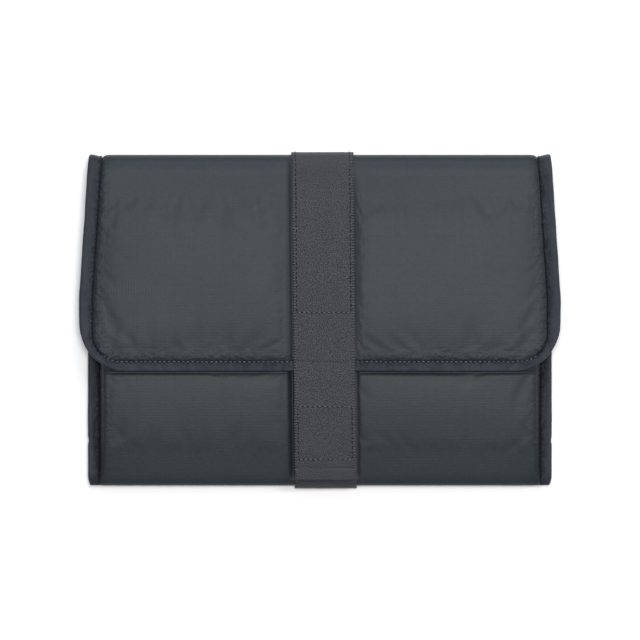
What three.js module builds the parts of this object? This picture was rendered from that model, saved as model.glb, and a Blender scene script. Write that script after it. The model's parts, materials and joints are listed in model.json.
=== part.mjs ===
// A padded changing clutch, closed and lying on its back: a pouch with bound side
// seams, a top fold, a bound flap with rounded corners, and one webbing strap that
// goes up the back, over the top fold and down the flap to a hook-and-loop closure.
// A changing mat lies folded in three inside. Each panel is outer fabric, foam and
// lining. Millimetres, +Z up, +Y towards the top fold, origin under the middle.
import * as THREE from "three";
import { mergeVertices } from "three/addons/utils/BufferGeometryUtils.js";

// Driving dimensions.
const BODY_LENGTH = 213.5; // top fold to bottom fold
const BODY_HALF = 149.7; // middle to the outer edge of a side seam binding
const FOLD_HALF = 149; // middle to the outer edge of the binding at the top fold
const FLAP_LENGTH = 139.3; // top fold to the flap's bound edge
const FLAP_FLARE = 6.1; // how much wider each side of the flap grows
const FLAP_FLARE_LENGTH = 92; // over this length from the top fold
const FLAP_CORNER = 35; // radius of the flap's rounded corners
const SEAM_BINDING = 7.3; // width of the binding on the pouch's side seams
const FLAP_BINDING_SIDE = 9; // width of the flap's binding at its sides
const FLAP_BINDING_END = 6.4; // and along its bottom edge
const SEAM_CORNER = 18; // radius of the flap's seam line at the corners
const FOLD_R = 12.7; // outer radius of the top fold, half the closed thickness
const BOTTOM_R = 6; // outer radius of the bottom fold
const FRONT_Z = 20.6; // height of the front's outer face under the flap
const SEAM_Z = 8.9; // height to which the front draws down at the side seams
const WEB_WIDTH = 40; // standard webbing
const WEB = 1.4; // its thickness
const SHELL = 0.6; // outer fabric
const FOAM = 2.4; // padding
const LINING = 0.5; // inner fabric
const GAP = 0.3; // between pieces that touch

// Depths below a panel's outer face.
const SHELL_DEPTH = [0, SHELL];
const FOAM_DEPTH = [SHELL + GAP, SHELL + GAP + FOAM];
const LINING_DEPTH = [FOAM_DEPTH[1] + GAP, FOAM_DEPTH[1] + GAP + LINING];
const PANEL = LINING_DEPTH[1];

// Places along Y.
const TOP_Y = BODY_LENGTH / 2;
const FOLD_Y = TOP_Y - FOLD_R; // centre of the top fold's half turn
const BOTTOM_Y = BOTTOM_R - BODY_LENGTH / 2; // centre of the bottom fold's half turn
const FLAP_END_Y = TOP_Y - FLAP_LENGTH;
const MOUTH_Y = 73; // the pouch's mouth, under the flap
const MOUTH_BINDING = 6.5;
const STITCH_ROW_Y = 5; // the strap is sewn to the flap down to this row
const TAIL_BEND_Y = -40; // where the free tail bends, just past the flap's edge
const PATCH_Y = [-89, -55]; // hook and loop patches
const STUB_END_Y = -47; // the lower strap layer ends under the tail
const TAIL_LAST_Y = -97; // where the tail leaves the front's curve
const TAIL_OVERHANG = 5; // and the straight end past it
const HEM = 8; // turned-under end of the tail
const HEM_STEP = 0.2; // the length over which the turned-under layer starts

// The two fold lines lie on the outer fabric of the top fold. The flap turns at 45
// degrees above the middle. The lower line is where the flap, turned right back,
// lies on its own strap and no lower.
const FLAP_HINGE = 45;
const WEB_RISE = WEB + GAP;
const SPINE_HINGE = 45 - degrees(Math.acos(WEB_RISE / (FOLD_R * Math.SQRT2)));
const HINGE_CLEARANCE = degrees(0.25 / FOLD_R); // half the slit in the panels
const WEB_CLEARANCE = degrees((WEB_RISE + GAP) / FOLD_R); // the strap needs more

// The front's outer face is level under the flap and then falls in a parabola to
// the bottom fold, which it meets at this angle.
const FRONT_TILT = THREE.MathUtils.degToRad(13);
const FRONT_FALL = FRONT_Z - BOTTOM_R * (1 + Math.cos(FRONT_TILT));
const FRONT_CURVE_LENGTH = (2 * FRONT_FALL) / Math.tan(FRONT_TILT);
const FRONT_CURVE_END_Y = BOTTOM_Y - BOTTOM_R * Math.sin(FRONT_TILT);
const FRONT_LEVEL_Y = FRONT_CURVE_END_Y + FRONT_CURVE_LENGTH;
const FRONT_CURVE = FRONT_FALL / FRONT_CURVE_LENGTH ** 2;

// The strap lies in a shallow channel of the back, so that the pouch rests flat.
const CHANNEL = WEB_RISE + 0.1;
const CHANNEL_HALF = WEB_WIDTH / 2 + 0.9;
const CHANNEL_WALL = 2;

// The folded mat: one leaf's thickness, half its width, its edge tape's width, the
// places of its two folds, how far its ends stop short of them, and its lowest face.
const MAT = { leaf: 2, half: 122, tape: 7, y: [-76, 93.5], short: [2, 3], z: PANEL + GAP };

// The side seams' tape: how far above the bottom fold's edge it starts, is half closed
// and is full, and between which heights it thins to the back panel alone.
const TAPE_START = 0.6;
const TAPE_CLOSING = 3.2;
const TAPE_FULL = 8;
const TAPE_THIN_Y = [66, 78];
const TAPE_LIFT = 0.4; // it stays this far above the table
const TAPE_PROUD = 0.2; // a binding stands this far proud of the panel it wraps
const TAPE_ROUND = 0.8; // and thins this much on each face at its outer edge
const TAPE_ROUND_SHARE = 0.8; // past this share of its width

// The strap is sewn on a little aslant: its middle at the clutch's middle, and how
// far it leans away from there to either end.
const STRAP_X = 2.7;
const STRAP_LEAN = 1.1;

const PINCH_POWER = 10; // how late the front starts to thin towards the side seams
const PATCH_INSET = 2; // hook and loop are this much narrower than the strap, each side
const PATCH = 1.25; // thickness of a hook or loop patch
const LABEL = { half: 18, y: [92, 77], thickness: 0.4 };
const FLAP_STRAIGHT_Y = 60; // a station of the flap between the fold and its full width

function finish(color, roughness) {
  return new THREE.MeshStandardMaterial({ color, roughness, metalness: 0 });
}

const outerFabric = finish(0x4b5054, 0.75);
const bindingTape = finish(0x3a3e43, 0.7);
const webbing = finish(0x47484d, 0.85);
const liningFabric = finish(0x8a8f93, 0.7);
const foam = finish(0xd9d8d0, 0.95);
const matFabric = finish(0xb4bac0, 0.55);
const closureTape = finish(0x26282b, 0.95);
const labelFabric = finish(0xdedfe0, 0.6);

function degrees(radians) {
  return THREE.MathUtils.radToDeg(radians);
}

// A station is a point on an outer face at x = 0, with the direction into the
// panel, how far the strap's channel is open there, and the face's full height.

function onArc(y, radius, angle, channel, top) {
  const a = THREE.MathUtils.degToRad(angle);
  const ny = -Math.cos(a);
  const nz = -Math.sin(a);
  return { y: y - radius * ny, z: radius - radius * nz, ny, nz, channel, top };
}

function onBack(y) {
  return { y, z: 0, ny: 0, nz: 1, channel: 1, top: 1 };
}

// Angles on the top fold run from -90 at the back to 90 at the flap.
function onFold(angle) {
  const channel = 1 - THREE.MathUtils.smoothstep(angle, -90, -45);
  return onArc(FOLD_Y, FOLD_R, angle, channel, 1);
}

// Angles on the bottom fold run from 90 at the front to 270 at the back.
function onBottom(angle) {
  const channel = THREE.MathUtils.smoothstep(angle, 210, 270);
  return onArc(BOTTOM_Y, BOTTOM_R, angle, channel, 2 * BOTTOM_R);
}

function onFlap(y) {
  return { y, z: 2 * FOLD_R, ny: 0, nz: -1, channel: 0, top: 1 };
}

function onFront(y) {
  const run = Math.max(0, FRONT_LEVEL_Y - y);
  const z = FRONT_Z - FRONT_CURVE * run * run;
  const slope = 2 * FRONT_CURVE * run;
  const length = Math.hypot(1, slope);
  return { y, z, ny: slope / length, nz: -1 / length, channel: 0, top: z };
}

// The tail's end runs on in a straight line from the front's curve.
function onTail(distance) {
  const last = onFront(TAIL_LAST_Y);
  const y = last.y + last.nz * distance;
  const z = last.z - last.ny * distance;
  return { ...last, y, z };
}

function evenly(from, to, steps) {
  return Array.from({ length: steps + 1 }, (_, i) => from + ((to - from) * i) / steps);
}

function strapMiddle(y) {
  return STRAP_X - (STRAP_LEAN * y) / TOP_Y;
}

function channelDepth(x, station) {
  const aside = Math.abs(x - strapMiddle(station.y)) - CHANNEL_HALF;
  const open = 1 - THREE.MathUtils.clamp(aside / CHANNEL_WALL, 0, 1);
  return CHANNEL * open * station.channel;
}

// The front thins towards the side seams, where it is sewn to the back.
function pinch(x, top) {
  const out = Math.min(1, Math.abs(x) / (BODY_HALF - SEAM_BINDING)) ** PINCH_POWER;
  return 1 - (1 - SEAM_Z / top) * out;
}

function at(x, station, depth) {
  const { y, z, ny, nz } = station;
  return new THREE.Vector3(x, y + ny * depth, z + nz * depth);
}

function atPinched(x, station, depth) {
  const point = at(x, station, depth);
  point.z *= pinch(x, station.top);
  return point;
}

// A closed slab: two faces of columns by rows and the walls between them. Both
// faces are split along the same diagonals, so that neighbouring layers stay
// parallel. place(column, row, side) gives each corner.
function slab(columns, rows, place) {
  const points = [];
  for (const side of [0, 1]) {
    for (let row = 0; row <= rows; row += 1) {
      for (let column = 0; column <= columns; column += 1) {
        points.push(place(column, row, side));
      }
    }
  }
  const faceSize = (columns + 1) * (rows + 1);
  const corner = (column, row, side) => side * faceSize + row * (columns + 1) + column;
  const faces = [];
  const quad = (a, b, c, d) => faces.push(a, b, c, a, c, d);
  for (let row = 0; row < rows; row += 1) {
    for (let column = 0; column < columns; column += 1) {
      const [a, b, c, d] = [[0, 0], [1, 0], [1, 1], [0, 1]].map(([right, up]) =>
        corner(column + right, row + up, 1),
      );
      quad(a, b, c, d);
      const [e, f, g, h] = [a, b, c, d].map((i) => i - faceSize);
      faces.push(e, g, f, e, h, g);
    }
  }
  const rim = [];
  for (let column = 0; column < columns; column += 1) rim.push([column, 0]);
  for (let row = 0; row < rows; row += 1) rim.push([columns, row]);
  for (let column = columns; column > 0; column -= 1) rim.push([column, rows]);
  for (let row = rows; row > 0; row -= 1) rim.push([0, row]);
  rim.forEach(([column, row], i) => {
    const [nextColumn, nextRow] = rim[(i + 1) % rim.length];
    quad(
      corner(column, row, 0),
      corner(nextColumn, nextRow, 0),
      corner(nextColumn, nextRow, 1),
      corner(column, row, 1),
    );
  });
  return facingOut(new THREE.BufferGeometry().setFromPoints(points).setIndex(faces));
}

function facingOut(geometry) {
  const position = geometry.getAttribute("position");
  const index = geometry.index;
  const corner = [0, 1, 2].map(() => new THREE.Vector3());
  let volume = 0;
  for (let i = 0; i < index.count; i += 3) {
    corner.forEach((c, j) => c.fromBufferAttribute(position, index.getX(i + j)));
    volume += corner[0].dot(corner[1].clone().cross(corner[2]));
  }
  if (volume > 0) return geometry;
  for (let i = 0; i < index.count; i += 3) {
    const second = index.getX(i + 1);
    index.setX(i + 1, index.getX(i + 2));
    index.setX(i + 2, second);
  }
  return geometry;
}

function addMesh(group, name, geometry, material) {
  const mesh = new THREE.Mesh(geometry, material);
  mesh.name = name;
  group.add(mesh);
}

// One layer of a panel that has the same columns all the way along.
function layer(xsAt, stations, depths, placeAt = atPinched) {
  const count = xsAt(stations[0]).length - 1;
  return slab(count, stations.length - 1, (column, row, side) => {
    const station = stations[row];
    const x = xsAt(station)[column];
    return placeAt(x, station, depths(x, station)[side]);
  });
}

// The layers that carry the strap's channel: the fabric and the foam's outer face
// move in, and the foam's inner face and the lining stay.
function shellDepths(x, station) {
  const extra = channelDepth(x, station);
  return SHELL_DEPTH.map((depth) => depth + extra);
}

function foamDepths(x, station) {
  return [FOAM_DEPTH[0] + channelDepth(x, station), FOAM_DEPTH[1]];
}

const liningDepths = () => LINING_DEPTH;

function addPanel(group, name, xsAt, stations, placeAt) {
  addMesh(group, `${name}_shell`, layer(xsAt, stations, shellDepths, placeAt), outerFabric);
  addMesh(group, `${name}_padding`, layer(xsAt, stations, foamDepths, placeAt), foam);
  addMesh(group, `${name}_lining`, layer(xsAt, stations, liningDepths, placeAt), liningFabric);
}

// The strap's channel walls, as columns between the given outer ones.
function withChannel(outer) {
  return (station) => {
    const middle = strapMiddle(station.y);
    const walls = [CHANNEL_HALF + CHANNEL_WALL, CHANNEL_HALF];
    return [
      ...outer.map((x) => -x),
      ...walls.map((x) => middle - x),
      ...walls.reverse().map((x) => middle + x),
      ...[...outer].reverse(),
    ];
  };
}

const PANEL_HALF = BODY_HALF - SEAM_BINDING - GAP;
const PINCH_COLUMNS = [PANEL_HALF, 132, 118, 95]; // closer where the front bends more

function addBack(group) {
  const stations = [
    ...evenly(BOTTOM_Y + GAP, FOLD_Y, 4).slice(0, -1).map(onBack),
    ...evenly(-90, SPINE_HINGE - HINGE_CLEARANCE, 4).map(onFold),
  ];
  addPanel(group, "back", withChannel([PANEL_HALF]), stations, at);
}

// The front runs from the mouth down, round the bottom fold and ends at the seam
// where the back begins.
function addFront(group) {
  const curve = evenly(FRONT_LEVEL_Y, FRONT_CURVE_END_Y, 3).map(onFront);
  const turn = evenly(90 + degrees(FRONT_TILT), 270, 6).slice(1).map(onBottom);
  const stations = [onFront(MOUTH_Y - MOUTH_BINDING), ...curve, ...turn];
  addPanel(group, "front", withChannel(PINCH_COLUMNS), stations, atPinched);

  const rim = [onFront(MOUTH_Y), onFront(MOUTH_Y - MOUTH_BINDING + GAP)];
  const columns = [...PINCH_COLUMNS.map((x) => -x), ...[...PINCH_COLUMNS].reverse()];
  const wrap = layer(() => columns, rim, () => [-TAPE_PROUD, PANEL + TAPE_PROUD]);
  addMesh(group, "mouth_binding", wrap, bindingTape);
}

// Each side seam is wrapped in tape: both panels together below the mouth, and the
// back alone above it.
function addSideBindings(group) {
  const high = SEAM_Z + TAPE_LIFT;
  const stations = [
    { ...onBack(TAPE_START - TOP_Y), low: high / 3, high: (2 * high) / 3 },
    { ...onBack(TAPE_CLOSING - TOP_Y), low: high / 9, high: (8 * high) / 9 },
    { ...onBack(TAPE_FULL - TOP_Y), low: TAPE_LIFT, high },
    { ...onBack(TAPE_THIN_Y[0]), low: TAPE_LIFT, high },
    { ...onBack(TAPE_THIN_Y[1]), low: TAPE_LIFT, high: PANEL + TAPE_PROUD },
    ...evenly(-90, SPINE_HINGE - HINGE_CLEARANCE, 4)
      .map(onFold)
      .map((station) => ({ ...station, low: 0, high: PANEL + TAPE_PROUD })),
  ];
  const shares = [0, TAPE_ROUND_SHARE, 1];
  for (const [name, sign] of [["left", -1], ["right", 1]]) {
    const tape = slab(shares.length - 1, stations.length - 1, (column, row, side) => {
      const station = stations[row];
      const round = shares[column] === 1 ? TAPE_ROUND : 0;
      const depth = side === 0 ? station.low + round : station.high - round;
      const x = BODY_HALF - SEAM_BINDING * (1 - shares[column]);
      return at(sign * x, station, depth);
    });
    addMesh(group, `side_binding_${name}`, tape, bindingTape);
  }
}

function addSpine(group) {
  const turn = evenly(SPINE_HINGE + HINGE_CLEARANCE, FLAP_HINGE - HINGE_CLEARANCE, 6);
  const stations = turn.map(onFold);
  const seam = FOLD_HALF - FLAP_BINDING_SIDE;
  const panel = () => [GAP - seam, seam - GAP];
  addPanel(group, "spine", panel, stations, at);
  for (const [name, sign] of [["left", -1], ["right", 1]]) {
    const edge = () => [sign * seam, sign * FOLD_HALF];
    const tape = layer(edge, stations, () => [0, PANEL + TAPE_PROUD], at);
    addMesh(group, `spine_binding_${name}`, tape, bindingTape);
  }
}

// Half the flap's width over its binding.
function flapHalf(y) {
  return FOLD_HALF + FLAP_FLARE * Math.min(1, (TOP_Y - y) / FLAP_FLARE_LENGTH);
}

// One side of the flap's outline, from the top fold down its side and round the
// corner. The seam line turns more tightly than the edge of the tape.
function flapOutline(seamGap) {
  const widest = FOLD_HALF + FLAP_FLARE;
  const seamX = widest - FLAP_BINDING_SIDE - SEAM_CORNER;
  const seamY = FLAP_END_Y + FLAP_BINDING_END + SEAM_CORNER;
  const edgeX = widest - FLAP_CORNER;
  const edgeY = FLAP_END_Y + FLAP_CORNER;
  const fold = evenly(FLAP_HINGE + HINGE_CLEARANCE, 90, 3).map(onFold);
  const flat = [FLAP_STRAIGHT_Y, TOP_Y - FLAP_FLARE_LENGTH].map(onFlap);
  const side = [...fold, ...flat].map((station) => ({
    seam: { station, x: flapHalf(station.y) - FLAP_BINDING_SIDE - seamGap },
    edge: { station, x: flapHalf(station.y) },
  }));
  const corner = evenly(0, Math.PI / 2, 6).map((turn) => {
    const seamR = SEAM_CORNER - seamGap;
    const seamStation = onFlap(seamY - seamR * Math.sin(turn));
    const edgeStation = onFlap(edgeY - FLAP_CORNER * Math.sin(turn));
    return {
      seam: { station: seamStation, x: seamX + seamR * Math.cos(turn) },
      edge: { station: edgeStation, x: edgeX + FLAP_CORNER * Math.cos(turn) },
    };
  });
  return [...side, ...corner];
}

function addFlap(group) {
  const rows = flapOutline(GAP).map((point) => point.seam);
  const shares = [-1, 1];
  const panelLayer = (depths) =>
    slab(shares.length - 1, rows.length - 1, (column, row, side) => {
      const { station, x } = rows[row];
      return at(shares[column] * x, station, depths[side]);
    });
  addMesh(group, "flap_shell", panelLayer(SHELL_DEPTH), outerFabric);
  addMesh(group, "flap_padding", panelLayer(FOAM_DEPTH), foam);
  addMesh(group, "flap_lining", panelLayer(LINING_DEPTH), liningFabric);

  const right = flapOutline(0);
  const mirrored = ({ station, x }) => ({ station, x: -x });
  const left = [...right]
    .reverse()
    .map(({ seam, edge }) => ({ seam: mirrored(seam), edge: mirrored(edge) }));
  const loop = [...right, ...left];
  const tape = slab(1, loop.length - 1, (column, row, side) => {
    const { station, x } = column === 0 ? loop[row].seam : loop[row].edge;
    return at(x, station, [-TAPE_PROUD, PANEL + TAPE_PROUD][side]);
  });
  addMesh(group, "flap_binding", tape, bindingTape);

  const depths = [PANEL + GAP, PANEL + GAP + LABEL.thickness];
  const label = layer(() => [-LABEL.half, LABEL.half], LABEL.y.map(onFlap), () => depths);
  addMesh(group, "blank_label", label, labelFabric);
}

// A length of webbing whose lower face is the given height above the outer face.
function webStrip(stations, heights) {
  const xs = (station) => {
    const middle = strapMiddle(station.y);
    return [middle - WEB_WIDTH / 2, middle + WEB_WIDTH / 2];
  };
  const depths = (x, station) =>
    heights(station).map((height) => CHANNEL * station.channel - height);
  return layer(xs, stations, depths, at);
}

const webHeights = () => [GAP, GAP + WEB];

// The lowest strap layer: up the back from the bottom fold, and round the bottom
// fold up the front as far as the closure. It is one length of webbing.
function addLowerStrap(group) {
  const curve = evenly(STUB_END_Y, FRONT_CURVE_END_Y, 4).map(onFront);
  const turn = evenly(90 + degrees(FRONT_TILT), 270, 8).slice(1).map(onBottom);
  const fold = evenly(-90, SPINE_HINGE - WEB_CLEARANCE, 4).map(onFold);
  const run = webStrip([...curve, ...turn, onBack(0), ...fold], webHeights);
  addMesh(group, "strap_lower_run", run, webbing);
}

function addPatch(group, name, low, high) {
  const stations = evenly(PATCH_Y[1], PATCH_Y[0], 3).map(onFront);
  const half = WEB_WIDTH / 2 - PATCH_INSET;
  const xs = (station) => [strapMiddle(station.y) - half, strapMiddle(station.y) + half];
  addMesh(group, name, layer(xs, stations, () => [-low, -high], at), closureTape);
}

const LOOP_LOW = WEB_RISE + GAP;
const HOOK_LOW = LOOP_LOW + PATCH + GAP;
const TAIL_LOW = HOOK_LOW + PATCH + GAP;

function addSpineStrap(group) {
  const from = SPINE_HINGE + WEB_CLEARANCE;
  const stations = evenly(from, FLAP_HINGE - WEB_CLEARANCE, 5).map(onFold);
  addMesh(group, "strap_spine_run", webStrip(stations, webHeights), webbing);
}

function addFlapStrap(group) {
  const fold = evenly(FLAP_HINGE + WEB_CLEARANCE, 90, 3).map(onFold);
  const stations = [...fold, onFlap(STITCH_ROW_Y)];
  addMesh(group, "strap_flap_run", webStrip(stations, webHeights), webbing);
}

// The free tail, in the two lengths between which it bends when it is peeled.
function addTail(group) {
  const start = onFlap(STITCH_ROW_Y - GAP);
  const root = webStrip([start, onFlap(TAIL_BEND_Y + GAP)], webHeights);
  addMesh(group, "strap_tail_root", root, webbing);

  const front = evenly(TAIL_BEND_Y - GAP, TAIL_LAST_Y, 4).map(onFront);
  const hemStart = TAIL_OVERHANG - HEM;
  const stations = [
    ...front.slice(0, -1),
    { ...onTail(hemStart), hem: false },
    { ...onTail(hemStart + HEM_STEP), hem: true },
    { ...onTail(TAIL_OVERHANG), hem: true },
  ];
  const heights = ({ hem }) => [TAIL_LOW - (hem ? WEB : 0), TAIL_LOW + WEB];
  addMesh(group, "strap_tail_end", webStrip(stations, heights), webbing);
}

// The mat's outline across its folds: three leaves in an S, from the free end of
// the lowest leaf round both folds to the free end of the top one.
function matOutline(lowerEnd, upperEnd) {
  const { leaf, y, z } = MAT;
  const outer = leaf + GAP / 2;
  const inner = GAP / 2;
  const farY = y[1] - outer;
  const nearY = y[0] + outer;
  const farZ = z + leaf + inner;
  const nearZ = farZ + leaf + GAP;
  const quarter = Math.PI / 2;
  const outline = new THREE.Shape();
  outline.moveTo(lowerEnd, z);
  outline.lineTo(farY, z);
  outline.absarc(farY, farZ, outer, -quarter, quarter, false);
  outline.lineTo(nearY, nearZ - inner);
  outline.absarc(nearY, nearZ, inner, -quarter, quarter - 2 * Math.PI, true);
  outline.lineTo(upperEnd, nearZ + inner);
  outline.lineTo(upperEnd, nearZ + outer);
  outline.lineTo(nearY, nearZ + outer);
  outline.absarc(nearY, nearZ, outer, quarter, 3 * quarter, false);
  outline.lineTo(farY, farZ + inner);
  outline.absarc(farY, farZ, inner, quarter, -quarter, true);
  outline.lineTo(lowerEnd, z + leaf);
  outline.closePath();
  return outline;
}

// An outline in Y and Z, extruded along X.
function across(outline, fromX, toX) {
  const options = { depth: toX - fromX, bevelEnabled: false, curveSegments: 5 };
  const solid = new THREE.ExtrudeGeometry(outline, options);
  solid.deleteAttribute("normal");
  solid.deleteAttribute("uv");
  const axes = [[0, 1, 0], [0, 0, 1], [1, 0, 0]].map((axis) => new THREE.Vector3(...axis));
  solid.applyMatrix4(new THREE.Matrix4().makeBasis(...axes));
  solid.translate(fromX, 0, 0);
  return facingOut(mergeVertices(solid));
}

function addMat(group) {
  const ends = [MAT.y[0] + MAT.short[0], MAT.y[1] - MAT.short[1]];
  const inner = MAT.half - MAT.tape;
  const sheetEnds = [ends[0] + MAT.tape, ends[1] - MAT.tape];
  addMesh(group, "mat_sheet", across(matOutline(...sheetEnds), -inner, inner), matFabric);
  for (const [name, sign] of [["left", -1], ["right", 1]]) {
    const [from, to] = [inner + GAP, MAT.half].map((x) => sign * x).sort((a, b) => a - b);
    const tape = across(matOutline(...ends), from, to);
    addMesh(group, `mat_binding_${name}`, tape, bindingTape);
  }
  const topLeaf = MAT.z + 2 * (MAT.leaf + GAP);
  const strips = [
    ["mat_binding_lower_end", ends[0], MAT.z],
    ["mat_binding_upper_end", ends[1] - MAT.tape + GAP, topLeaf],
  ];
  for (const [name, y, z] of strips) {
    const tape = new THREE.BoxGeometry(2 * inner, MAT.tape - GAP, MAT.leaf);
    tape.translate(0, y + (MAT.tape - GAP) / 2, z + MAT.leaf / 2);
    tape.deleteAttribute("normal");
    tape.deleteAttribute("uv");
    addMesh(group, name, mergeVertices(tape), bindingTape);
  }
}

const pouch = new THREE.Group();
addBack(pouch);
addFront(pouch);
addSideBindings(pouch);
addLowerStrap(pouch);
addPatch(pouch, "loop_patch", LOOP_LOW, LOOP_LOW + PATCH);
addMat(pouch);

const spine = new THREE.Group();
addSpine(spine);
addSpineStrap(spine);

const flap = new THREE.Group();
addFlap(flap);
addFlapStrap(flap);

const tail = new THREE.Group();
addTail(tail);
addPatch(tail, "hook_patch", HOOK_LOW, HOOK_LOW + PATCH);

const clutch = new THREE.Group();
clutch.add(pouch, spine, flap, tail);

export default clutch;
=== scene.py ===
"""A padded changing clutch, closed, seen from straight above on a white floor.

The soft pieces are laid out flat first, in two coordinates: x across the clutch and s
along one line that runs from the pouch's mouth down the front, round the bottom fold, up
the back, over the top fold and down the flap. lift() takes a flat point, and a height
above the outer faces, to its place in the frame. Materials read the same flat
coordinates, so a weave stays on its cloth when the cloth bends.
"""

import json
import math

import bmesh
import bpy
import numpy as np
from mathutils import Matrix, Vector, noise


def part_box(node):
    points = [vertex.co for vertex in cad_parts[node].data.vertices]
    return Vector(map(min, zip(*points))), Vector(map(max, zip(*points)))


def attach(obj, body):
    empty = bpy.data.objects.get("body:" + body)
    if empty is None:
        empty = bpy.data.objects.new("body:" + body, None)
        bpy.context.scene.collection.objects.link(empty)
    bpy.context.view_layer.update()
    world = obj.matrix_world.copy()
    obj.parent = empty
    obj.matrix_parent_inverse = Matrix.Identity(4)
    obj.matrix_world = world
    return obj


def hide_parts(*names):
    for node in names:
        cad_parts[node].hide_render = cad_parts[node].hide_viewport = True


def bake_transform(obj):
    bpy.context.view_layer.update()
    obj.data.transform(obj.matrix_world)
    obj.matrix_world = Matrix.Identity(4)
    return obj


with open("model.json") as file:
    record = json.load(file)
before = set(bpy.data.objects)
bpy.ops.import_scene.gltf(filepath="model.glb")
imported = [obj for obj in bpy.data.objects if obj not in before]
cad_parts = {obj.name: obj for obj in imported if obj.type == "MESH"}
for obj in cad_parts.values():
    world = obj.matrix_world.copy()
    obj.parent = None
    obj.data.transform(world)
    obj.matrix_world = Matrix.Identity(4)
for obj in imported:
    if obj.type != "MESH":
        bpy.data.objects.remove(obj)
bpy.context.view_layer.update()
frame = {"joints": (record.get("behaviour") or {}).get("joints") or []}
noise.seed_set(11)  # left unset, the stitches' unevenness would differ from run to run
MM = 0.001
TAU = 2 * math.pi

# ---------------------------------------------------------------- sizes from the frame

JOINTS = {joint["name"]: joint for joint in frame["joints"]}
SPINE_JOINT = Vector(JOINTS["spine_fold"]["pos_m"])
FLAP_JOINT = Vector(JOINTS["flap_fold"]["pos_m"])
PEEL_Y = JOINTS["strap_peel"]["pos_m"][1]

FLAP_HINGE = math.radians(45)  # both fold lines lie on the outer face of the top fold
FOLD_R = FLAP_JOINT.z / (1 + math.sin(FLAP_HINGE))
FOLD_Y = FLAP_JOINT.y - FOLD_R * math.cos(FLAP_HINGE)
TOP_Y = FOLD_Y + FOLD_R
SPINE_HINGE = math.asin((SPINE_JOINT.z - FOLD_R) / FOLD_R)
MIDDLE_FOLD = (SPINE_HINGE + FLAP_HINGE) / 2

BODY_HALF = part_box("side_binding_right")[1].x
PANEL_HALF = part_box("back_shell")[1].x
SEAM_TAPE = BODY_HALF - PANEL_HALF
FOLD_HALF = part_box("spine_binding_right")[1].x
FLAP_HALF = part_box("flap_binding")[1].x
FLAP_TAPE = FOLD_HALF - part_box("spine_binding_right")[0].x
FLAP_END_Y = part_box("flap_binding")[0].y
FRONT_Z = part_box("front_shell")[1].z
MOUTH_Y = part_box("mouth_binding")[1].y
MOUTH_TAPE = MOUTH_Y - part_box("front_shell")[1].y

# ------------------------------------------------------- sizes that the frame's boxes lack

FLAP_TAPE_END = 6.4 * MM  # width of the tape along the flap's lower edge
FLAP_FLARE_LENGTH = 92 * MM  # the flap widens over this length from the top fold
FLAP_CORNER = 35 * MM
FLAP_CORNER_POWER = 2.2  # a little fuller than a circle
CORNER_POINTS = 26
EDGE_DROP = 1.4 * MM  # the tape's edge hangs this far below the stiffer flap
SEAM_CORNER = 18 * MM
BOTTOM_R = 6 * MM
BOTTOM_Y = BOTTOM_R - TOP_Y
FRONT_TILT = math.radians(13)
SEAM_TOP = 9.9 * MM  # height of the front at the side seams
EDGE_TURN = 4.5 * MM  # width of the padded front's rounded sides
SHELL, FOAM, LINING, GAP = 0.6 * MM, 2.4 * MM, 0.5 * MM, 0.3 * MM
FOAM_INSET = 3.5 * MM  # the foam stops this far short of the seams
FOAM_DEPTH = SHELL + GAP
LINING_DEPTH = FOAM_DEPTH + FOAM + GAP
PANEL = LINING_DEPTH + LINING
INNER_CLOTH = 0.3 * MM  # the lining's cloth, thinner than the room it has
DOME = 2.6 * MM  # rise of the flap's middle
FOLD_POWER = 3.2  # the top fold's section is squarer than a circle
WEB_WIDTH, WEB = 40 * MM, 1.4 * MM
WEB_LOW = GAP
STRAP_X, STRAP_LEAN = 2.7 * MM, 1.1 * MM  # off the middle, and how far it leans
TAIL_LOW = 5.1 * MM  # the tail's end lies on the lower strap and both patches
CHANNEL = 1.8 * MM
CHANNEL_HALF = WEB_WIDTH / 2 + 0.9 * MM
CHANNEL_WALL = 2 * MM
TAPE_KINK_Y = -77.5 * MM  # a nick in the side tapes, above their lower ends
STITCH = 3.03 * MM  # from one stitch to the next
THREAD_R = 0.33 * MM
STITCH_SUNK = 1.15 * MM  # how far the side seams' stitches sink into their tape
SELVEDGE_LOOP = 1.75 * MM  # from one loop of the webbing's selvedge to the next
SELVEDGE_BUMP = 0.4 * MM
STITCH_INSET = WEB_WIDTH / 2 - 2.6 * MM  # from the strap's middle to its rows of stitches
HEM = 8 * MM  # length of the strap's turned end
TURN_Y = -97 * MM  # where the tail leaves the front and runs straight on
PATCH_HALF = WEB_WIDTH / 2 - 2.2 * MM
MAT_LEAF = 2 * MM

# --------------------------------------------------------------- relief of the outer fabric

UNEVEN = 0.3 * MM  # slow unevenness of the padding
BODY_CROWN = 0.6 * MM  # rise of the front between its seams
BODY_TUCKS, FLAP_TUCKS = 0.55 * MM, 0.5 * MM  # small folds where stitches gather the cloth
SEAM_DIP = 1.9 * MM  # how far the cloth is drawn in at a seam
EDGE_VALLEY = 1.2 * MM  # pressed into the front by the flap's edge
PRESS_LEFT, PRESS_RIGHT = 9 * MM, 2.2 * MM  # how far beside the strap the cloth is held down
GROOVE = 1.5 * MM  # the crease along the strap's left edge
CLOTH_FRAMES = 20
SWELL, SWELL_CAP = 0.5, 0.5 * MM  # the cloth simulation's pressure, and its furthest move

# ----------------------------------------------------------------- how fine the meshes are

BODY_CELL, FLAP_CELL, LAYER_CELL, MAT_CELL = 2.3 * MM, 2.1 * MM, 3.2 * MM, 2.4 * MM
TAPE_CELL, STRAP_CELL, TAIL_CELL = 1.6 * MM, 0.58 * MM, 0.55 * MM

# ------------------------------------------------------------------------- small helpers


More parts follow.
